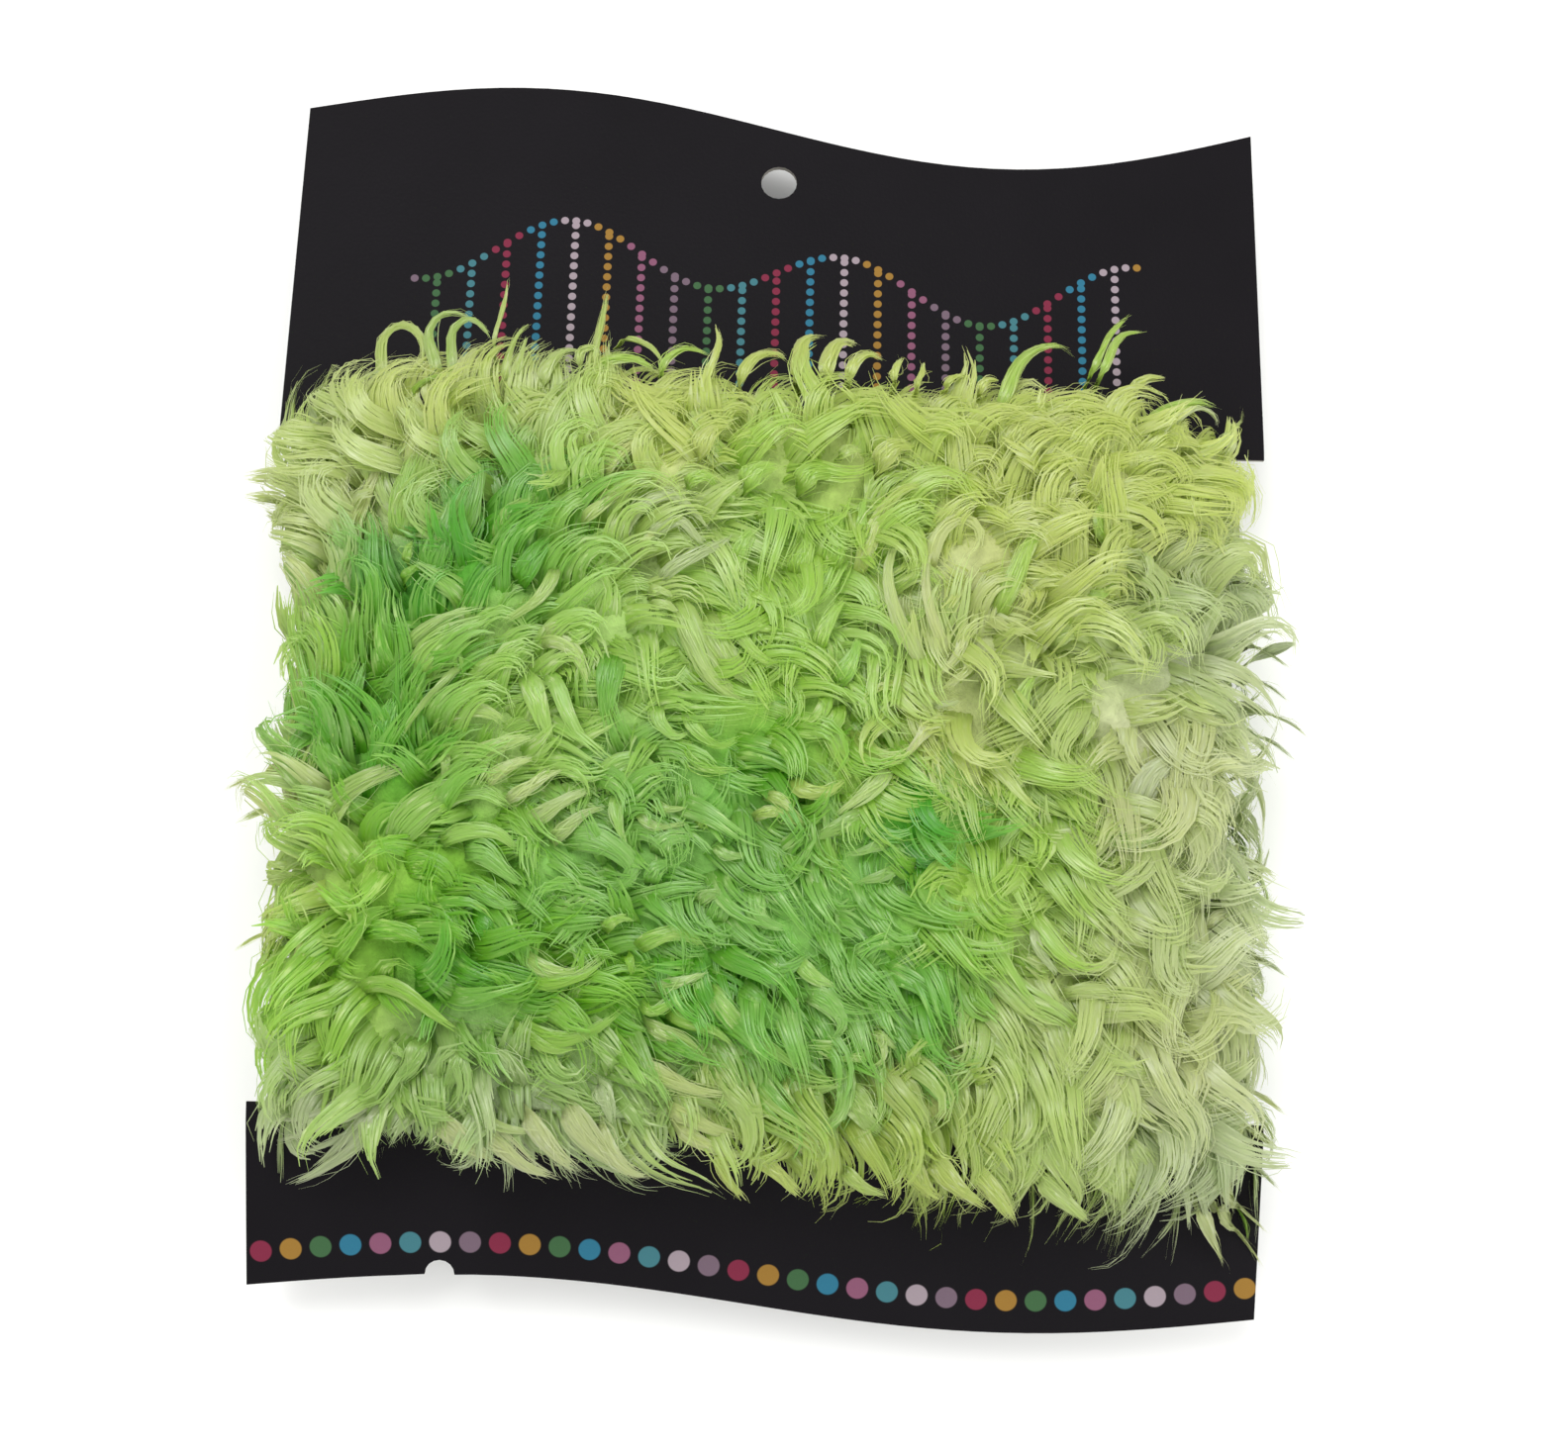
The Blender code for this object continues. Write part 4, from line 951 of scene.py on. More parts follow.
def note(mesh, name, kind, values):
    """Notes a value for each of a mesh's points, for its material to read."""
    field = {"FLOAT_COLOR": "color", "FLOAT": "value", "FLOAT_VECTOR": "vector"}[kind]
    mesh.attributes.new(name, kind, "POINT").data.foreach_set(field, values.astype(np.float32).ravel())


def hair_mesh(name, strips):
    """One joined mesh of ribbons, with their normals, dye and places along the hair."""
    edges = strips["edges"]
    total, stations = edges.shape[:2]
    levels = stations - 1
    verts = total * stations * 2
    mesh = bpy.data.meshes.new(name)
    mesh.vertices.add(verts)
    mesh.vertices.foreach_set("co", edges.astype(np.float32).ravel())
    first = (np.arange(total)[:, None] * stations + np.arange(levels)[None, :]) * 2
    corners = np.stack([first, first + 2, first + 3, first + 1], -1).reshape(-1)
    faces = total * levels
    mesh.loops.add(len(corners))
    mesh.loops.foreach_set("vertex_index", corners.astype(np.int32))
    mesh.polygons.add(faces)
    mesh.polygons.foreach_set("loop_start", np.arange(0, faces * 4, 4, dtype=np.int32))
    mesh.polygons.foreach_set("use_smooth", np.ones(faces, dtype=bool))
    mesh.update(calc_edges=True)
    dye = np.ones((total, stations, 2, 4))
    dye[..., :3] = strips["dye"][:, None, None, :]
    note(mesh, "dye", "FLOAT_COLOR", dye)
    for name in ("along", "tone"):
        note(mesh, name, "FLOAT", np.repeat(strips[name][:, :, None], 2, 2))
    note(mesh, "streak", "FLOAT_VECTOR", strips["streak"])
    set_bake_map(mesh, total, levels)
    mesh.normals_split_custom_set_from_vertices(strips["normals"].reshape(-1, 3).astype(np.float32))
    return mesh


def set_bake_map(mesh, total, levels):
    """A map on which every hair has a small cell of its own, in the order of the locks."""
    columns = max(1, math.ceil(math.sqrt(total * 2.6)))
    rows = math.ceil(total / columns)
    column = np.arange(total) % columns
    row = np.arange(total) // columns
    column = np.where(row % 2, columns - 1 - column, column)
    inset = 0.18
    left = (column + inset) / columns
    right = (column + 1 - inset) / columns
    step = np.linspace(0.08, 0.92, levels + 1)
    v = (row[:, None] + step[None, :]) / rows
    uv = np.empty((total, levels, 4, 2), dtype=np.float32)
    uv[:, :, 0, 0] = uv[:, :, 1, 0] = left[:, None]
    uv[:, :, 2, 0] = uv[:, :, 3, 0] = right[:, None]
    uv[:, :, 0, 1] = uv[:, :, 3, 1] = v[:, :-1]
    uv[:, :, 1, 1] = uv[:, :, 2, 1] = v[:, 1:]
    layer = mesh.uv_layers.new(name="OFBake", do_init=False)
    layer.uv.foreach_set("vector", uv.ravel())


def passed_light(wire, colour):
    """A shader for light that comes through: three plain dyes, mixed as near to this colour as they come."""
    deep, lime, pale = [wire.add("ShaderNodeBsdfTranslucent", {}, {"Color": shade}) for shade in PASSED_DYES]
    deep_red, lime_red, pale_red = [shade[0] for shade in PASSED_DYES]
    red, _, blue = colour.parts()
    paleness = (blue / PASSED_DYES[2][2]).least(1.0)
    rest = (red - pale_red * paleness) / (1.001 - paleness)
    warmth = ((rest - deep_red) / (lime_red - deep_red)).most(0.0).least(1.0)
    strong = wire.add("ShaderNodeMixShader", {}, {0: warmth, 1: deep, 2: lime})
    return wire.add("ShaderNodeMixShader", {}, {0: paleness, 1: strong, 2: pale})


def pile_finish():
    """Silky dyed pile, streaked along its hairs: darker at the roots as painted shade, paler at the tips
    (partly faded, partly painted sheen), with painted glints and shine.
    """
    if "dyed pile" in bpy.data.materials:
        return bpy.data.materials["dyed pile"]
    pile = bpy.context.scene.pile
    material, wire, shader = new_finish("dyed pile", 0.31, 1.0)
    dye = noted(wire, "dye", "Color")
    along = noted(wire, "along", "Fac")
    streak = noise(wire, noted(wire, "streak", "Vector"), 4.0, 2.0).ramp(0.28, 0.72)
    tone = noted(wire, "tone", "Fac") + (streak - 0.5) * 0.12
    # Painted shade: the dye is deepened and darkened towards the roots, and on hairs of darker tone
    root = 1 - along.ramp(0.05, 0.60)
    depth = (root * pile.root_painted_shade + (0.5 - tone).most(0.0) * 0.8).least(1.0)
    # Painted highlights: painted glints, painted shine and lighter tone lift the colour towards a pale tint
    # of the dye
    lighter_tone_and_glint = (tone - 0.5).most(0.0) * 2.0
    fade_and_glint = (along.ramp(0.45, 1.0) * pile.tip_fade_and_sheen * 0.6 + lighter_tone_and_glint * (0.35 + 1.2 * streak * lighter_tone_and_glint)).least(1.0)
    body = depth.mixed(dye, dye.deepened((1.9, 1.2, 2.6)))
    body = fade_and_glint.mixed(body, dye.deepened((0.38, 0.20, 0.46)))
    feed(shader, "Base Color", body)
    through = passed_light(wire, body.deepened((1.10, 0.95, 1.15)))
    both = wire.add("ShaderNodeMixShader", {}, {0: 0.6, 1: Wire(wire.tree, shader.outputs[0]), 2: through})
    wire.tree.links.new(both.socket, material.node_tree.get_output_node("ALL").inputs["Surface"])
    return material


def add_object(name, data):
    piece = bpy.data.objects.new(name, data)
    bpy.context.scene.collection.objects.link(piece)
    return piece


def place_piece(name, mesh, material, slot):
    mesh.materials.append(material)
    piece = add_object(name, mesh)
    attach(piece, BODY)
    return piece


def grow_pieces(name, locks, hairs, levels, hair_width, rng, parts=1, lines=None):
    """Grows these locks as joined meshes, from the left of the strip to its right.

    In a mesh the locks come row by row, so neighbours on its bake map are neighbours on the fur. Each hair
    has as many faces as levels.
    """
    lines = lines or comb(locks, STATIONS)
    hairs = np.broadcast_to(hairs, locks["width"].shape)
    roots = lines["place"][:, 0]
    order = np.argsort(roots[:, 0], kind="stable")
    for part, chosen in enumerate(np.array_split(order, parts)):
        chosen = chosen[np.lexsort((roots[chosen, 0], np.round(roots[chosen, 1] / LOCK_ROW)))]
        some = {key: values[chosen] for key, values in locks.items()}
        some_lines = {key: values[chosen] for key, values in lines.items()}
        strips = hair_strips(some, some_lines, hairs[chosen], levels, hair_width, rng)
        title = name if parts == 1 else f"{name}_{part + 1}"
        piece = place_piece(title, hair_mesh(title, strips), pile_finish(), PILE_SLOT)
        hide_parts("fur_wrap")


def joined(*tables):
    return {key: np.concatenate([table[key] for table in tables]) for key in tables[0]}


def wall_roots(spacing, low, high, rng):
    """Jittered roots on the outer turn between two angles in degrees, as places."""
    angles, lengths = girdle_lengths(OUTER_TURN)
    first, last = np.interp(np.radians([low, high]), angles, lengths)
    columns = max(1, round((last - first) / spacing))
    rows = max(1, round(2 * STRIP_HALF / (spacing * 0.87)))
    row, column = np.meshgrid(np.arange(rows), np.arange(columns), indexing="ij")
    along = (column + 0.5 * (row % 2) + rng.uniform(-0.3, 0.3, row.shape)) / columns
    up = (row + 0.5 + rng.uniform(-0.3, 0.3, row.shape)) / rows
    angle = np.interp(first + along.ravel() * (last - first), lengths, angles)
    y = (up.ravel() * 2 - 1) * (STRIP_HALF - 0.0005)
    x, z = girdle(angle, OUTER_TURN)
    return np.stack([x, y, CARD_HEIGHT + z * rim_drop(y)], -1)


def flat_way(angles):
    return np.stack([np.cos(angles), np.sin(angles), np.zeros(len(angles))], -1)


def front_locks(rng):
    """Locks over the front, combed as the table says, and looser and softer at the top and on the right."""
    pile = bpy.context.scene.pile
    roots = wall_roots(pile.spacing, 4, 176, rng)
    x, y = roots[:, 0], roots[:, 1]
    count = len(roots)
    length = pile.front_length * rng.uniform(0.78, 1.22, count)
    way, curl = combing_at(x, y)
    way, curl = combing_at(x + 0.5 * length * np.cos(way), y + 0.5 * length * np.sin(way))
    loose = np.maximum(smooth(y, 0.014, 0.028), smooth(x, 0.020, 0.036))
    way = way + rng.normal(0, 0.25, count) * (1 + 1.2 * loose) - 0.35 * curl
    below = STRIP_HALF + read_table(BOTTOM_REACH, x) + y + rng.uniform(-0.001, 0.002, count)
    above = STRIP_HALF + read_table(TOP_REACH, x) - y
    # A lock is shorter where it would reach too far past a rim
    for room, rise in ((below, -np.sin(way)), (above, np.sin(way))):
        length = length * np.clip(room / (0.75 * length * np.maximum(rise, 0.05)), 0.45, 1.0)
    locks = lock_table(count, length=length, soft=loose)
    locks["root"] = roots
    locks["way"] = flat_way(way)
    locks["curl"] = curl * rng.uniform(0.8, 1.8, count) + rng.normal(0, 0.32, count) * (1 + 1.0 * loose)
    locks["hook"] = np.sign(curl) * np.abs(rng.normal(0, 1.3, count))
    vary(locks, rng, swing=(0.15, 0.5), waves=(0.7, 1.3), phase=(0, 1))
    vary(locks, rng, rise=(50, 80), rest=(-16, -3), bend=(0.36, 0.58))
    locks["flick"] = rng.normal(-16, 12, count)
    locks["width"] *= rng.uniform(0.8, 1.4, count)
    locks["thick"] *= 0.6 - 0.25 * loose
    locks["gather"] = rng.uniform(0.1, 0.5, count) * (1 - 0.7 * loose)
    locks["light"] = rng.normal(0.03 * loose, 0.03 + 0.06 * loose, count)
    stray = rng.normal(0, 0.0015, (2, count))
    middle = 0.25 * length
    locks["dye"] = dye_at(x + middle * np.cos(way) + stray[0], y + middle * np.sin(way) + stray[1])
    return locks


def top_locks(rng):
    """The locks drawn on top, a little paler than the dye around them."""
    half = np.array([row[1] for row in TOP_LOCKS]) / 1000
    count = len(half)
    locks = lock_table(count, width=half * 1.25, neck=0.35, core=0.50, fray=0.5)
    locks["thick"] = np.clip(0.0004 / half, 0.2, 0.7)
    locks["gather"] = rng.uniform(0.35, 0.7, count)
    locks["light"] = rng.normal(0.05, 0.06, count)
    paths = [drawn_points(row) for row in TOP_LOCKS]
    middle = np.array([path[len(path) // 2] for path in paths])
    own = np.array([tuple(getattr(bpy.context.scene.dyes, row[0])) for row in TOP_LOCKS])
    locks["dye"] = 0.38 * dye_at(middle[:, 0], middle[:, 1]) + 0.62 * own
    return locks, drawn_lines(paths, STATIONS)


def under_locks(rng):
    """Short tangled locks in every direction, under and between the long ones."""
    roots = wall_roots(UNDER_SPACING, 2, 178, rng)
    x, y = roots[:, 0], roots[:, 1]
    count = len(roots)
    locks = lock_table(count, length=UNDER_LENGTH * rng.uniform(0.8, 1.2, count))
    locks["root"] = roots
    locks["way"] = flat_way(combing_at(x, y)[0] + rng.normal(0, 1.5, count))
    locks["curl"] = rng.normal(0, 1.2, count)
    locks["hook"] = rng.normal(0, 1.0, count)
    vary(locks, rng, swing=(0.1, 0.4), phase=(0, 1), rise=(60, 85), rest=(-10, 15), bend=(0.45, 0.7))
    locks["width"] *= 1.2
    locks["light"] = rng.normal(0.04, 0.03, count)
    locks["dye"] = dye_at(x, y)
    return locks


def rim_locks(sense, table, rng):
    """Locks out of the ends of all the turns at one rim."""
    count = RIM_LOCKS
    angles, lengths = girdle_lengths(OUTER_TURN)
    angle = np.interp(rng.uniform(0, lengths[-1], count), lengths, angles)
    outer_x, outer_z = girdle(angle, OUTER_TURN)
    inner_x, inner_z = girdle(angle, INNER_TURN)
    depth = rng.uniform(0.05, 1.0, count) ** 0.8
    x = inner_x + depth * (outer_x - inner_x)
    y = np.full(count, sense * (STRIP_HALF - 0.0008))
    z = (inner_z + depth * (outer_z - inner_z)) * (1 - RIM_DROOP)
    front = z > 0
    way, curl = combing_at(x, y * 0.95)
    way = np.where(front, way, sense * (np.pi / 2 - 0.35 * x / CARD_HALF)) + rng.normal(0, 0.22, count)
    length = np.where(front, read_table(table, x) * 1.35 + 0.002, RIM_BACK_LENGTH)
    length = length * rng.uniform(0.7, 1.2, count)
    locks = lock_table(count, length=length, core=0.18)
    locks["root"] = np.stack([x, y, CARD_HEIGHT + z], -1)
    locks["way"] = flat_way(way)
    locks["curl"] = curl * rng.uniform(0.4, 1.2, count)
    locks["hook"] = np.sign(curl) * np.abs(rng.normal(0, 1.0, count))
    vary(locks, rng, swing=(0.05, 0.3), waves=(0.7, 1.3), phase=(0, 1))
    vary(locks, rng, rise=(-5, 35), rest=(-22, 4), bend=(0.4, 0.7))
    locks["width"] *= rng.uniform(0.45, 0.8, count)
    locks["thick"] += 0.3
    locks["light"] = rng.normal(0, 0.10, count)
    locks["dye"] = dye_at(x, y * 1.08)
    return locks


def side_locks(low, high, lean, rng):
    """Locks down one side of the sleeve, lying out and down."""
    roots = wall_roots(SIDE_SPACING, low, high, rng)
    count = len(roots)
    locks = lock_table(count, length=SIDE_LENGTH * rng.uniform(0.8, 1.25, count))
    locks["root"] = roots
    locks["way"] = flat_way(np.radians(lean + rng.normal(0, 35, count)))
    locks["curl"] = rng.normal(0, 0.7, count)
    locks["hook"] = rng.normal(0, 0.8, count)
    vary(locks, rng, swing=(0.1, 0.3), phase=(0, 1), rise=(45, 75), rest=(-12, 12), bend=(0.35, 0.6))
    locks["light"] = rng.normal(0, 0.08, count)
    locks["dye"] = dye_at(roots[:, 0] * 1.06, roots[:, 1])
    return locks


def back_locks(rng):
    """Shorter locks on the back, pressed flat where it lies."""
    roots = wall_roots(BACK_SPACING, 188, 352, rng)
    count = len(roots)
    locks = lock_table(count, length=BACK_LENGTH * rng.uniform(0.8, 1.2, count))
    locks["root"] = roots
    locks["way"] = flat_way(np.radians(-90 + rng.normal(0, 40, count)))
    locks["curl"] = rng.normal(0, 0.7, count)
    locks["hook"] = rng.normal(0, 0.6, count)
    vary(locks, rng, swing=(0.1, 0.3), phase=(0, 1), rise=(35, 60), rest=(-10, 4), bend=(0.3, 0.5))
    locks["width"] *= 1.3
    locks["light"] = rng.normal(0, 0.08, count)
    locks["dye"] = dye_at(-roots[:, 0], roots[:, 1] * 0.8 - 0.004)
    return locks


class TRIM_OT_comb_front(bpy.types.Operator):
    """Grow, comb and dye the long curly pile on the front"""

    bl_idname = "trim.comb_front"
    bl_label = "Comb the front pile"

    def execute(self, context):
        pile = context.scene.pile
        rng = np.random.default_rng(pile.seed)
        locks = front_locks(rng)
        hairs = np.round(pile.front_hairs * (1 + 0.8 * locks["soft"])).astype(int)
        grow_pieces("pile_front", locks, hairs, 9, pile.hair_width, rng, parts=3)
        grow_pieces("pile_under", under_locks(rng), 20, 5, pile.hair_width * 1.3, rng)
        return {"FINISHED"}


class TRIM_OT_lay_curls(bpy.types.Operator):
    """Lay the curls and locks that lie on top of the pile"""

    bl_idname = "trim.lay_curls"
    bl_label = "Lay the top curls"

    def execute(self, context):
        pile = context.scene.pile
        rng = np.random.default_rng(pile.seed + 40)
        locks, lines = top_locks(rng)
        hairs = np.round(DRAWN_LEAST_HAIRS + DRAWN_HAIRS_A_METRE * locks["width"]).astype(int)
        grow_pieces("pile_curls", locks, hairs, 10, pile.hair_width * 0.9, rng, lines=lines)
        return {"FINISHED"}


class TRIM_OT_comb_rims(bpy.types.Operator):
    """Grow the locks that stand out of the top and bottom rims"""

    bl_idname = "trim.comb_rims"
    bl_label = "Comb the rims"

    def execute(self, context):
        pile = context.scene.pile
        for name, sense, table in (("top", 1, TOP_REACH), ("bottom", -1, BOTTOM_REACH)):
            rng = np.random.default_rng(pile.seed + 10 + sense)
            locks = rim_locks(sense, table, rng)
            grow_pieces(f"pile_{name}_rim", locks, pile.rim_hairs, 9, pile.hair_width, rng)
        return {"FINISHED"}


class TRIM_OT_comb_sides(bpy.types.Operator):
    """Grow the locks down both sides and over the back"""

    bl_idname = "trim.comb_sides"
    bl_label = "Comb the sides and the back"

    def execute(self, context):
        pile = context.scene.pile
        rng = np.random.default_rng(pile.seed + 20)
        right = side_locks(-30, 16, -50, rng)
        left = side_locks(168, 210, -105, rng)
        grow_pieces("pile_sides", joined(right, left), pile.back_hairs, 8, pile.hair_width * 1.2, rng)
        grow_pieces("pile_back", back_locks(rng), pile.back_hairs, 6, pile.hair_width * 1.7, rng)
        return {"FINISHED"}


# Backing and undercoat


TURN_INSET = 0.0004
EDGE_INSET = 0.0010
TURN_LIMITS = (4.0, 24.0)
SPIRAL_STEPS = 4000
BACKING_COLUMNS = 900
BACKING_ROWS = 5
UNDERCOAT_FORM = {"half_width": 0.0515, "front": 0.0154, "back": 0.0118, "squareness": 2.8}
UNDERCOAT_HALF = 0.0372
UNDERCOAT_LUMP = 0.0007
UNDERCOAT_COLUMNS = 180
UNDERCOAT_ROWS = 46


def grid_faces(rows, columns, closed_columns):
    """Quads of a grid of points numbered row by row."""
    last = columns if closed_columns else columns - 1
    row, column = np.meshgrid(np.arange(rows - 1), np.arange(last), indexing="ij")
    after = (column + 1) % columns
    near = row * columns
    far = near + columns
    return np.stack([near + column, near + after, far + after, far + column], -1).reshape(-1, 4)


def spiral(turns, steps):
    """Places along the wound strip's middle line in X and Z, from the inner turn to the outer."""
    share = np.linspace(0, 1, steps)
    angle = 2 * np.pi * turns * share
    c = np.cos(angle)
    s = np.sin(angle)

    def between(name, inset=0.0):
        return INNER_TURN[name] + share * (OUTER_TURN[name] - inset - INNER_TURN[name])

    power = 2 / between("squareness")
    depth = np.where(s >= 0, between("front", TURN_INSET), between("back", TURN_INSET))
    x = between("half_width", TURN_INSET) * np.sign(c) * np.abs(c) ** power
    z = depth * np.sign(s) * np.abs(s) ** power
    return x, z


def turns_for(length):
    """How many turns use up this length of strip."""
    low, high = TURN_LIMITS
    for _ in range(30):
        turns = (low + high) / 2
        x, z = spiral(turns, SPIRAL_STEPS)
        if np.hypot(np.diff(x), np.diff(z)).sum() < length:
            low = turns
        else:
            high = turns
    return turns


def evenly(x, z, columns):
    """The same line with its points spread evenly along it."""
    run = np.concatenate([[0.0], np.cumsum(np.hypot(np.diff(x), np.diff(z)))])
    wanted = np.linspace(0, run[-1], columns)
    return np.interp(wanted, run, x), np.interp(wanted, run, z)


class TRIM_OT_wind_backing(bpy.types.Operator):
    """Wind the backing strip round the card's waist, turn on turn"""

    bl_idname = "trim.wind_backing"
    bl_label = "Wind the backing"

    def execute(self, context):
        strip = context.scene.strip
        turns = turns_for(strip.length)
        columns = BACKING_COLUMNS
        rows = BACKING_ROWS
        x, z = evenly(*spiral(turns, 2 * SPIRAL_STEPS), columns)
        ahead = unit(np.stack([np.gradient(x), np.gradient(z)], -1))
        out = np.stack([ahead[:, 1], -ahead[:, 0]], -1) * strip.thickness / 2
        turn = np.linspace(0, turns, columns)
        stray = strip.stray * np.sin(2 * np.pi * turn * 0.37) + 0.4 * strip.stray * np.sin(7.0 * turn)
        share = np.linspace(-1, 1, rows)
        verts = []
        for sense in (1, -1):
            y = share[:, None] * (strip.width / 2 - EDGE_INSET) + stray[None, :]
            deep = CARD_HEIGHT + (z + sense * out[:, 1])[None, :] * rim_drop(y)
            wide = np.broadcast_to(x + sense * out[:, 0], y.shape)
            verts.append(np.stack([wide, y, deep], -1).reshape(-1, 3))
        outer = grid_faces(rows, columns, False)
        other = rows * columns
        inner = outer[:, ::-1] + other
        edge = []
        for row in (0, rows - 1):
            start = row * columns + np.arange(columns - 1)
            quad = np.stack([start, start + other, start + 1 + other, start + 1], -1)
            edge.append(quad if row == 0 else quad[:, ::-1])
        for column in (0, columns - 1):
            start = np.arange(rows - 1) * columns + column
            quad = np.stack([start, start + columns, start + columns + other, start + other], -1)
            edge.append(quad if column == 0 else quad[:, ::-1])
        faces = np.concatenate([outer, inner, *edge])
        mesh = bpy.data.meshes.new("backing")
        mesh.from_pydata(np.concatenate(verts).tolist(), [], faces.tolist())
        mesh.shade_smooth()
        mesh.set_sharp_from_angle(angle=math.radians(50))
        piece = place_piece("backing", mesh, backing_finish(), PILE_SLOT)
        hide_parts("fur_wrap")
        with_pile = [o for o in bpy.data.objects if o.name.startswith(("pile_", "undercoat"))]
        strip.width
        strip.length
        return {"FINISHED"}


def backing_finish():
    """Knitted backing cloth, with fine ribs along the strip and a brushed face."""
    strip = bpy.context.scene.strip
    material, wire, shader = new_finish("knitted backing", 0.85, 0.3)
    place = object_place(wire)
    ribs = (place.parts()[1] * (2 * math.pi / 0.0009)).sine()
    fuzz = noise(wire, place, 900.0)
    feed(shader, "Base Color", tinted(tuple(strip.cloth), 0.75 + 0.25 * fuzz + 0.06 * ribs))
    feed(shader, "Normal", raised(wire, ribs * 0.5 + fuzz, 0.0002))
    return material


class TRIM_OT_shape_undercoat(bpy.types.Operator):
    """Shape the dense short pile that shows between the long locks"""

    bl_idname = "trim.shape_undercoat"
    bl_label = "Shape the undercoat"

    def execute(self, context):
        rng = np.random.default_rng(context.scene.pile.seed + 30)
        columns = UNDERCOAT_COLUMNS
        angles, lengths = girdle_lengths(UNDERCOAT_FORM)
        angle = np.interp(np.linspace(0, lengths[-1], columns, endpoint=False), lengths, angles)
        inset = np.concatenate([[0.86, 0.95], np.ones(UNDERCOAT_ROWS), [0.95, 0.86]])
        x, z = girdle(angle, UNDERCOAT_FORM)
        # Narrower behind, where the locks are shorter
        x = x * (1 - 0.055 * smooth(-z, 0.001, 0.007))
        level = np.concatenate([[1.0, 1.015], np.linspace(1, -1, UNDERCOAT_ROWS), [-1.015, -1.0]])
        y = np.repeat(level * UNDERCOAT_HALF, columns)
        wide = (inset[:, None] * x[None, :]).ravel()
        deep = (inset[:, None] * z[None, :]).ravel() * rim_drop(y)
        lumps = rng.normal(0, 1, (len(level), columns))
        for _ in range(2):
            lumps = (lumps + np.roll(lumps, 1, 1) + np.roll(lumps, -1, 1)) / 3
            lumps[1:-1] = (lumps[1:-1] + lumps[2:] + lumps[:-2]) / 3
        lumps = UNDERCOAT_LUMP * lumps.ravel() / lumps.std()
        place = np.stack([wide, y, CARD_HEIGHT + deep], -1)
        place = place + outward(place) * lumps[:, None]
        place[:, 2] = np.maximum(place[:, 2], FLOOR_CLEAR)
        mesh = bpy.data.meshes.new("undercoat")
        mesh.from_pydata(place.tolist(), [], grid_faces(len(level), columns, True).tolist())
        mesh.shade_smooth()
        front = np.where(place[:, 2] > CARD_HEIGHT, place[:, 0], -place[:, 0])
        colour = np.ones((len(place), 4))
        colour[:, :3] = dye_at(front, place[:, 1])
        note(mesh, "dye", "FLOAT_COLOR", colour)
        piece = place_piece("undercoat", mesh, undercoat_finish(), PILE_SLOT)
        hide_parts("fur_wrap")
        return {"FINISHED"}


def undercoat_finish():
    """Short dense pile in painted shade: its dye darkened to about half, broken up by fine fibres."""
    material, wire, shader = new_finish("undercoat", 0.8, 0.2)
    deep = noted(wire, "dye", "Color").deepened((1.0, 1.0, 0.85))
    fibres = noise(wire, object_place(wire), 700.0, 4.0)
    # Painted shade: the dye is darkened to about half, as the undercoat lies in shade between the locks
    feed(shader, "Base Color", tinted(deep, 0.40 + 0.44 * fibres))
    feed(shader, "Normal", raised(wire, fibres, 0.0006))
    return material


# Card


def wave_height(x, wave):
    """How far an end's wavy edge stands above its mean line, for a wire x."""
    u = x / CARD_HALF
    return wave["tilt"] * u - wave["sag"] * (1 - u * u) - wave["swing"] * (u * math.pi).sine()


def unbent(run, bend):
    """Length along the flat card past the waist, from the run that the bent end covers."""
    reach = FOLD_RADIUS * math.sin(bend)
    return FOLD_RADIUS * bend + (run - reach) / math.cos(bend)


def dot(x, y, centre_x, centre_y, radius):
    """1 inside a dot with a slightly soft edge, and 0 outside."""
    across = x - centre_x
    up = y - centre_y
    return (across * across + up * up).ramp((radius * 1.07) ** 2, (radius * 0.93) ** 2)


INKS = ("71283C", "89672F", "3A5A3B", "2C667D", "794C62", "3C6B73", "8F8289", "685763")
BORDER_START = -0.0555
BORDER_DOTS = 34
BORDER_HEIGHT = 0.00375
GARLAND_HALF = 0.0435


def ink_at(wire, inks, index):
    """The ink of a dot with this number, one after the other."""
    return wire.add("ShaderNodeValToRGB", {"stops": inks}, {0: (index % 8.0) / 8.0 + 0.06})


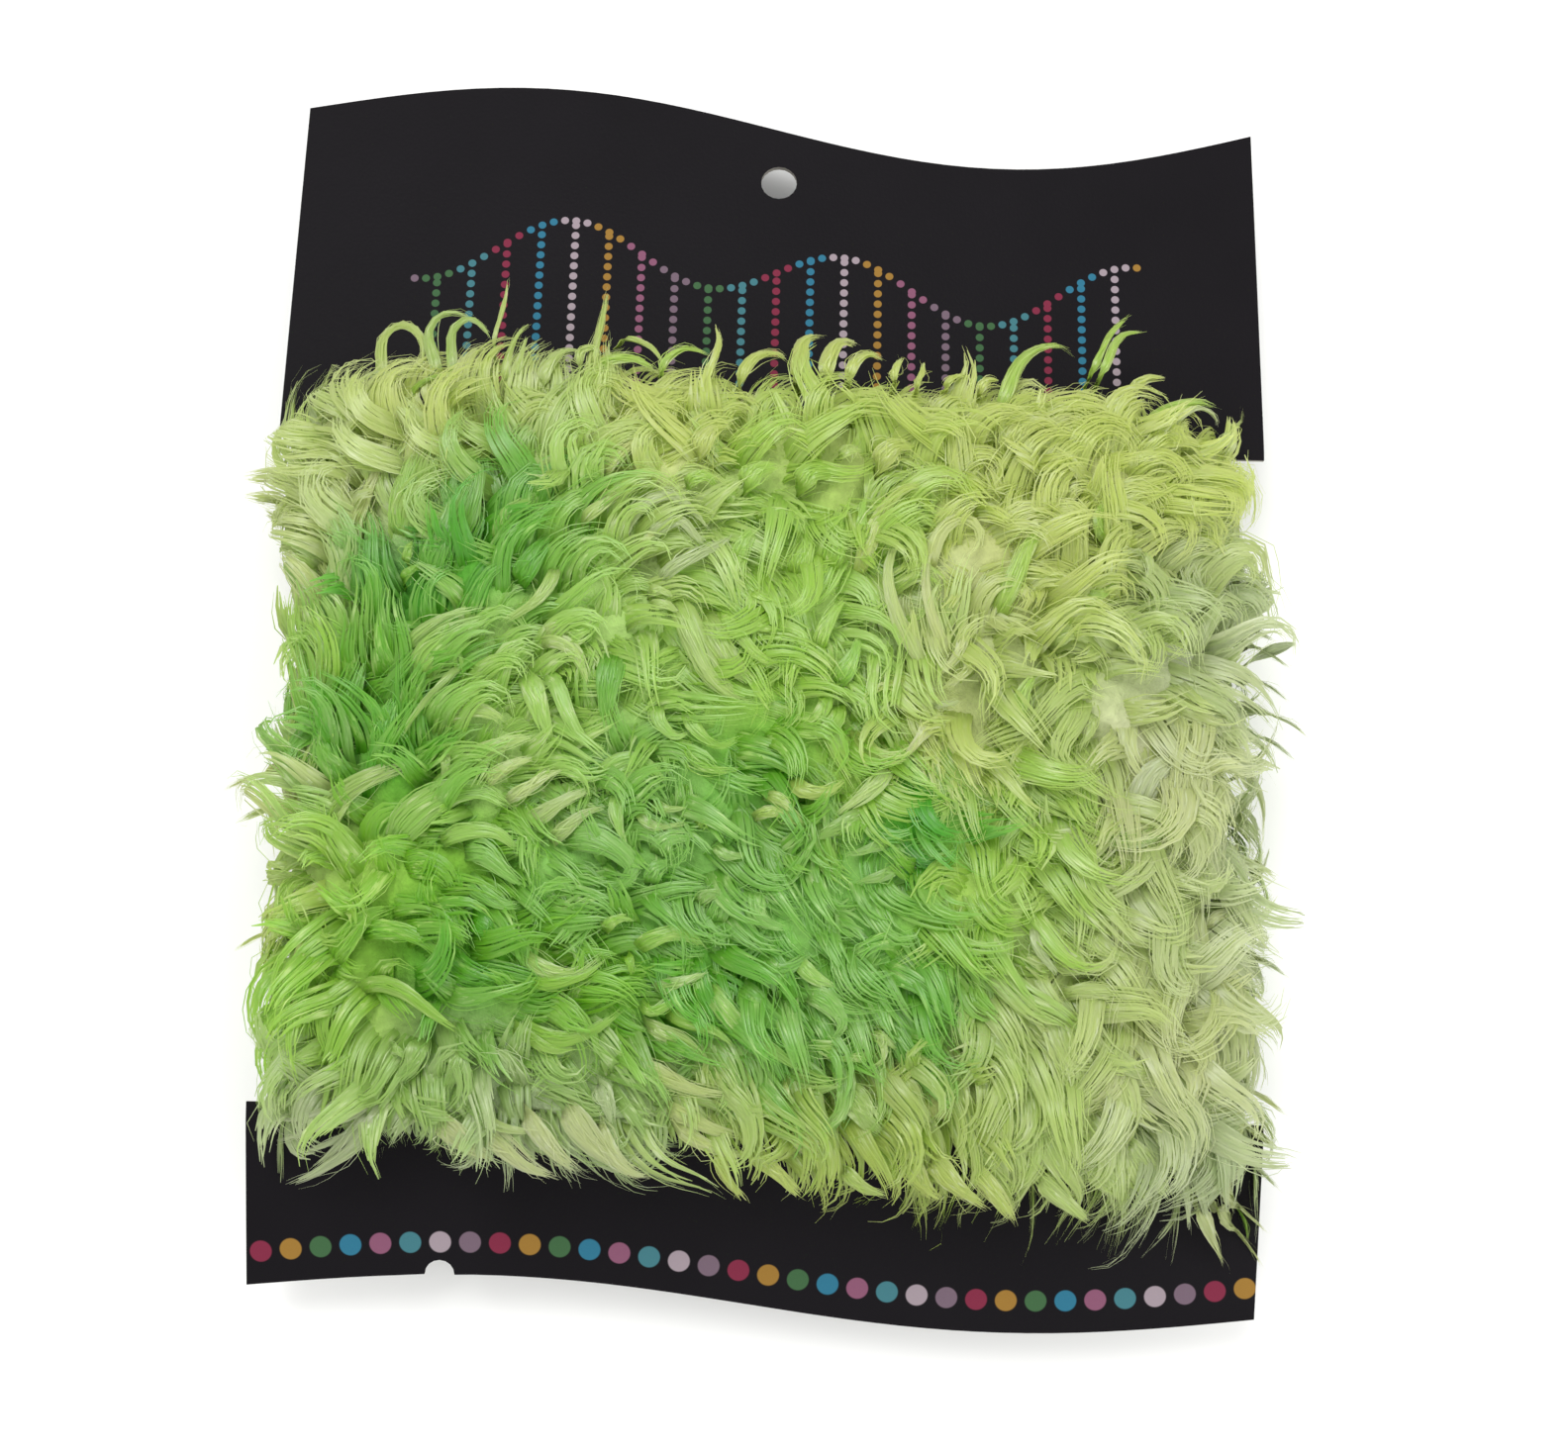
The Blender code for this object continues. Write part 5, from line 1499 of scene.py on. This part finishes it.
def printed_card_finish(settings):
    """Matt black print with a dotted border, a dotted garland in the header and a bare cut edge."""
    material, wire, shader = new_finish("printed board", 0.46, 0.05)
    place = object_place(wire)
    x, y, _ = place.parts()
    facing = wire.add("ShaderNodeNewGeometry", {}, {}, "Normal").parts()[2]
    grain = noise(wire, place, 2600.0, 3.0)
    mottle = noise(wire, place, 60.0, 4.0)
    inks = [linear(code) for code in INKS]

    down = unbent(-1 * y - STRIP_HALF, FOOTER_BEND)
    index = round((x - BORDER_START) / settings.dot_pitch).most(0.0).least(BORDER_DOTS - 1.0)
    centre = BORDER_START + index * settings.dot_pitch
    border = wave_height(centre, FOOTER_WAVE) - FOOTER_LENGTH + BORDER_HEIGHT
    on_border = dot(x, -1 * down, centre, border, settings.dot_radius) * (y < -STRIP_HALF)
    border_ink = ink_at(wire, inks, index)

    up = unbent(y - STRIP_HALF, HEADER_BEND)
    string = round(x / settings.string_pitch)
    string_x = string * settings.string_pitch
    bead = round(up / settings.bead_pitch) * settings.bead_pitch
    on_string = dot(x, up, string_x, bead, settings.bead_radius) * (bead < garland(string_x))
    along = round(x / settings.bead_pitch) * settings.bead_pitch
    on_garland = dot(x, up, along, garland(along), settings.bead_radius)
    string_ink = ink_at(wire, inks, string * 3.0 + 40.0)
    inside = (abs(x) < GARLAND_HALF) * (y > STRIP_HALF)
    header = on_string.most(on_garland) * inside

    ground = tinted(tuple(settings.black), 0.8 + 0.4 * mottle)
    shown = (on_border * (facing > 0.5)).mixed(ground, border_ink)
    shown = (header * (facing > 0.5)).mixed(shown, string_ink)
    edge = abs(facing) < 0.4
    feed(shader, "Base Color", edge.mixed(shown, (*settings.core, 1.0)))
    feed(shader, "Roughness", 0.40 + 0.16 * grain)
    feed(shader, "Normal", raised(wire, grain, 0.00004))
    return material


def garland(x):
    """Height above the waist of the header's dotted garland, for a wire x."""
    return 0.0225 + 0.0035 * (x * (math.pi / 0.0165)).sine() - 0.0028 * (x * (math.pi / 0.052)).sine()


class TRIM_OT_print_card(bpy.types.Operator):
    """Print the card and leave its cut edges bare"""

    bl_idname = "trim.print_card"
    bl_label = "Print the card"

    def execute(self, context):
        card = frame["nodes"]["card"]
        card.data.materials.clear()
        card.data.materials.append(printed_card_finish(context.scene.card))
        return {"FINISHED"}


# Stage

CAMERA_PLACE = (0.0014, -0.0209, 0.2631)
CAMERA_RIGHT = (0.9997, 0.0242, 0.0057)
CAMERA_UP = (-0.0246, 0.9941, 0.1061)
CAMERA_BACK = (-0.0031, -0.1062, 0.9943)
FOCAL_LENGTH = 50.0
SENSOR_WIDTH = 36.0
LIGHT_AIM = (0.0, 0.0, 0.01)
FLOOR_HALF = 3.0


def add_light(name, place, power, size):
    data = bpy.data.lights.new(name, "AREA")
    data.energy = power
    data.size = size
    light = add_object(name, data)
    light.location = place
    away = mathutils.Vector(place) - mathutils.Vector(LIGHT_AIM)
    light.rotation_euler = away.to_track_quat("Z", "Y").to_euler()


class TRIM_OT_set_stage(bpy.types.Operator):
    """Lay the pale floor, hang the soft lights and set the camera"""

    bl_idname = "trim.set_stage"
    bl_label = "Set the stage"

    def execute(self, context):
        scene = context.scene
        stage = scene.stage
        mesh = bpy.data.meshes.new("floor")
        corners = [(x * FLOOR_HALF, y * FLOOR_HALF, 0) for x, y in ((-1, -1), (1, -1), (1, 1), (-1, 1))]
        mesh.from_pydata(corners, [], [(0, 1, 2, 3)])
        floor = add_object("floor", mesh)
        material, _, shader = new_finish("pale floor", 0.9, 0.2)
        shader.inputs["Base Color"].default_value = (*stage.floor, 1.0)
        mesh.materials.append(material)
        floor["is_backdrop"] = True
        add_light("key", (-0.12, 0.28, 0.61), stage.key_power, 0.30)
        add_light("fill", (0.45, -0.25, 0.5), stage.fill_power, 0.6)
        world = bpy.data.worlds.new("room")
        world.use_nodes = True
        sky = world.node_tree.nodes["Background"]
        sky.inputs["Color"].default_value = (1.0, 1.0, 1.0, 1.0)
        sky.inputs["Strength"].default_value = stage.sky
        scene.world = world
        camera_data = bpy.data.cameras.new("camera")
        camera_data.lens = FOCAL_LENGTH
        camera_data.sensor_width = SENSOR_WIDTH
        camera_data.clip_start = 0.01
        camera_data.clip_end = 20.0
        camera = add_object("camera", camera_data)
        axes = mathutils.Matrix((CAMERA_RIGHT, CAMERA_UP, CAMERA_BACK)).transposed()
        turn = axes.to_quaternion().to_matrix().to_4x4()
        camera.matrix_world = mathutils.Matrix.Translation(CAMERA_PLACE) @ turn
        scene.camera = camera
        scene.view_settings.view_transform = "Standard"
        return {"FINISHED"}


class TRIM_PT_panel(bpy.types.Panel):
    """Lists the steps that dress the trim"""

    bl_idname = "TRIM_PT_panel"
    bl_label = "Fur trim"
    bl_space_type = "VIEW_3D"
    bl_region_type = "UI"
    bl_category = "Fur trim"

    def draw(self, context):
        for operator in OPERATORS:
            self.layout.operator(operator.bl_idname)
        for name in SETTINGS:
            settings = getattr(context.scene, name)
            box = self.layout.box()
            for key in settings.bl_rna.properties.keys():
                if key not in ("rna_type", "name"):
                    box.prop(settings, key)


SETTINGS = {
    "strip": StripSettings,
    "pile": PileSettings,
    "dyes": DyeSettings,
    "card": CardSettings,
    "stage": StageSettings,
}
OPERATORS = (
    TRIM_OT_comb_front,
    TRIM_OT_lay_curls,
    TRIM_OT_comb_rims,
    TRIM_OT_comb_sides,
    TRIM_OT_shape_undercoat,
    TRIM_OT_wind_backing,
    TRIM_OT_print_card,
    TRIM_OT_set_stage,
)


def register():
    for name, group in SETTINGS.items():
        bpy.utils.register_class(group)
        setattr(bpy.types.Scene, name, bpy.props.PointerProperty(type=group))
    for operator in OPERATORS:
        bpy.utils.register_class(operator)
    bpy.utils.register_class(TRIM_PT_panel)


def unregister():
    bpy.utils.unregister_class(TRIM_PT_panel)
    for operator in reversed(OPERATORS):
        bpy.utils.unregister_class(operator)
    for name, group in SETTINGS.items():
        delattr(bpy.types.Scene, name)
        bpy.utils.unregister_class(group)


def main():
    register()
    bpy.ops.trim.comb_front()
    bpy.ops.trim.lay_curls()
    bpy.ops.trim.comb_rims()
    bpy.ops.trim.comb_sides()
    bpy.ops.trim.shape_undercoat()
    bpy.ops.trim.wind_backing()
    bpy.ops.trim.print_card()
    bpy.ops.trim.set_stage()
    low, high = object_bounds()
    sizes = {
        "cad": [list(CAD_BOX[0]), list(CAD_BOX[1])],
        "visual": [list(low), list(high)],
    }


if __name__ == "__main__":
    main()
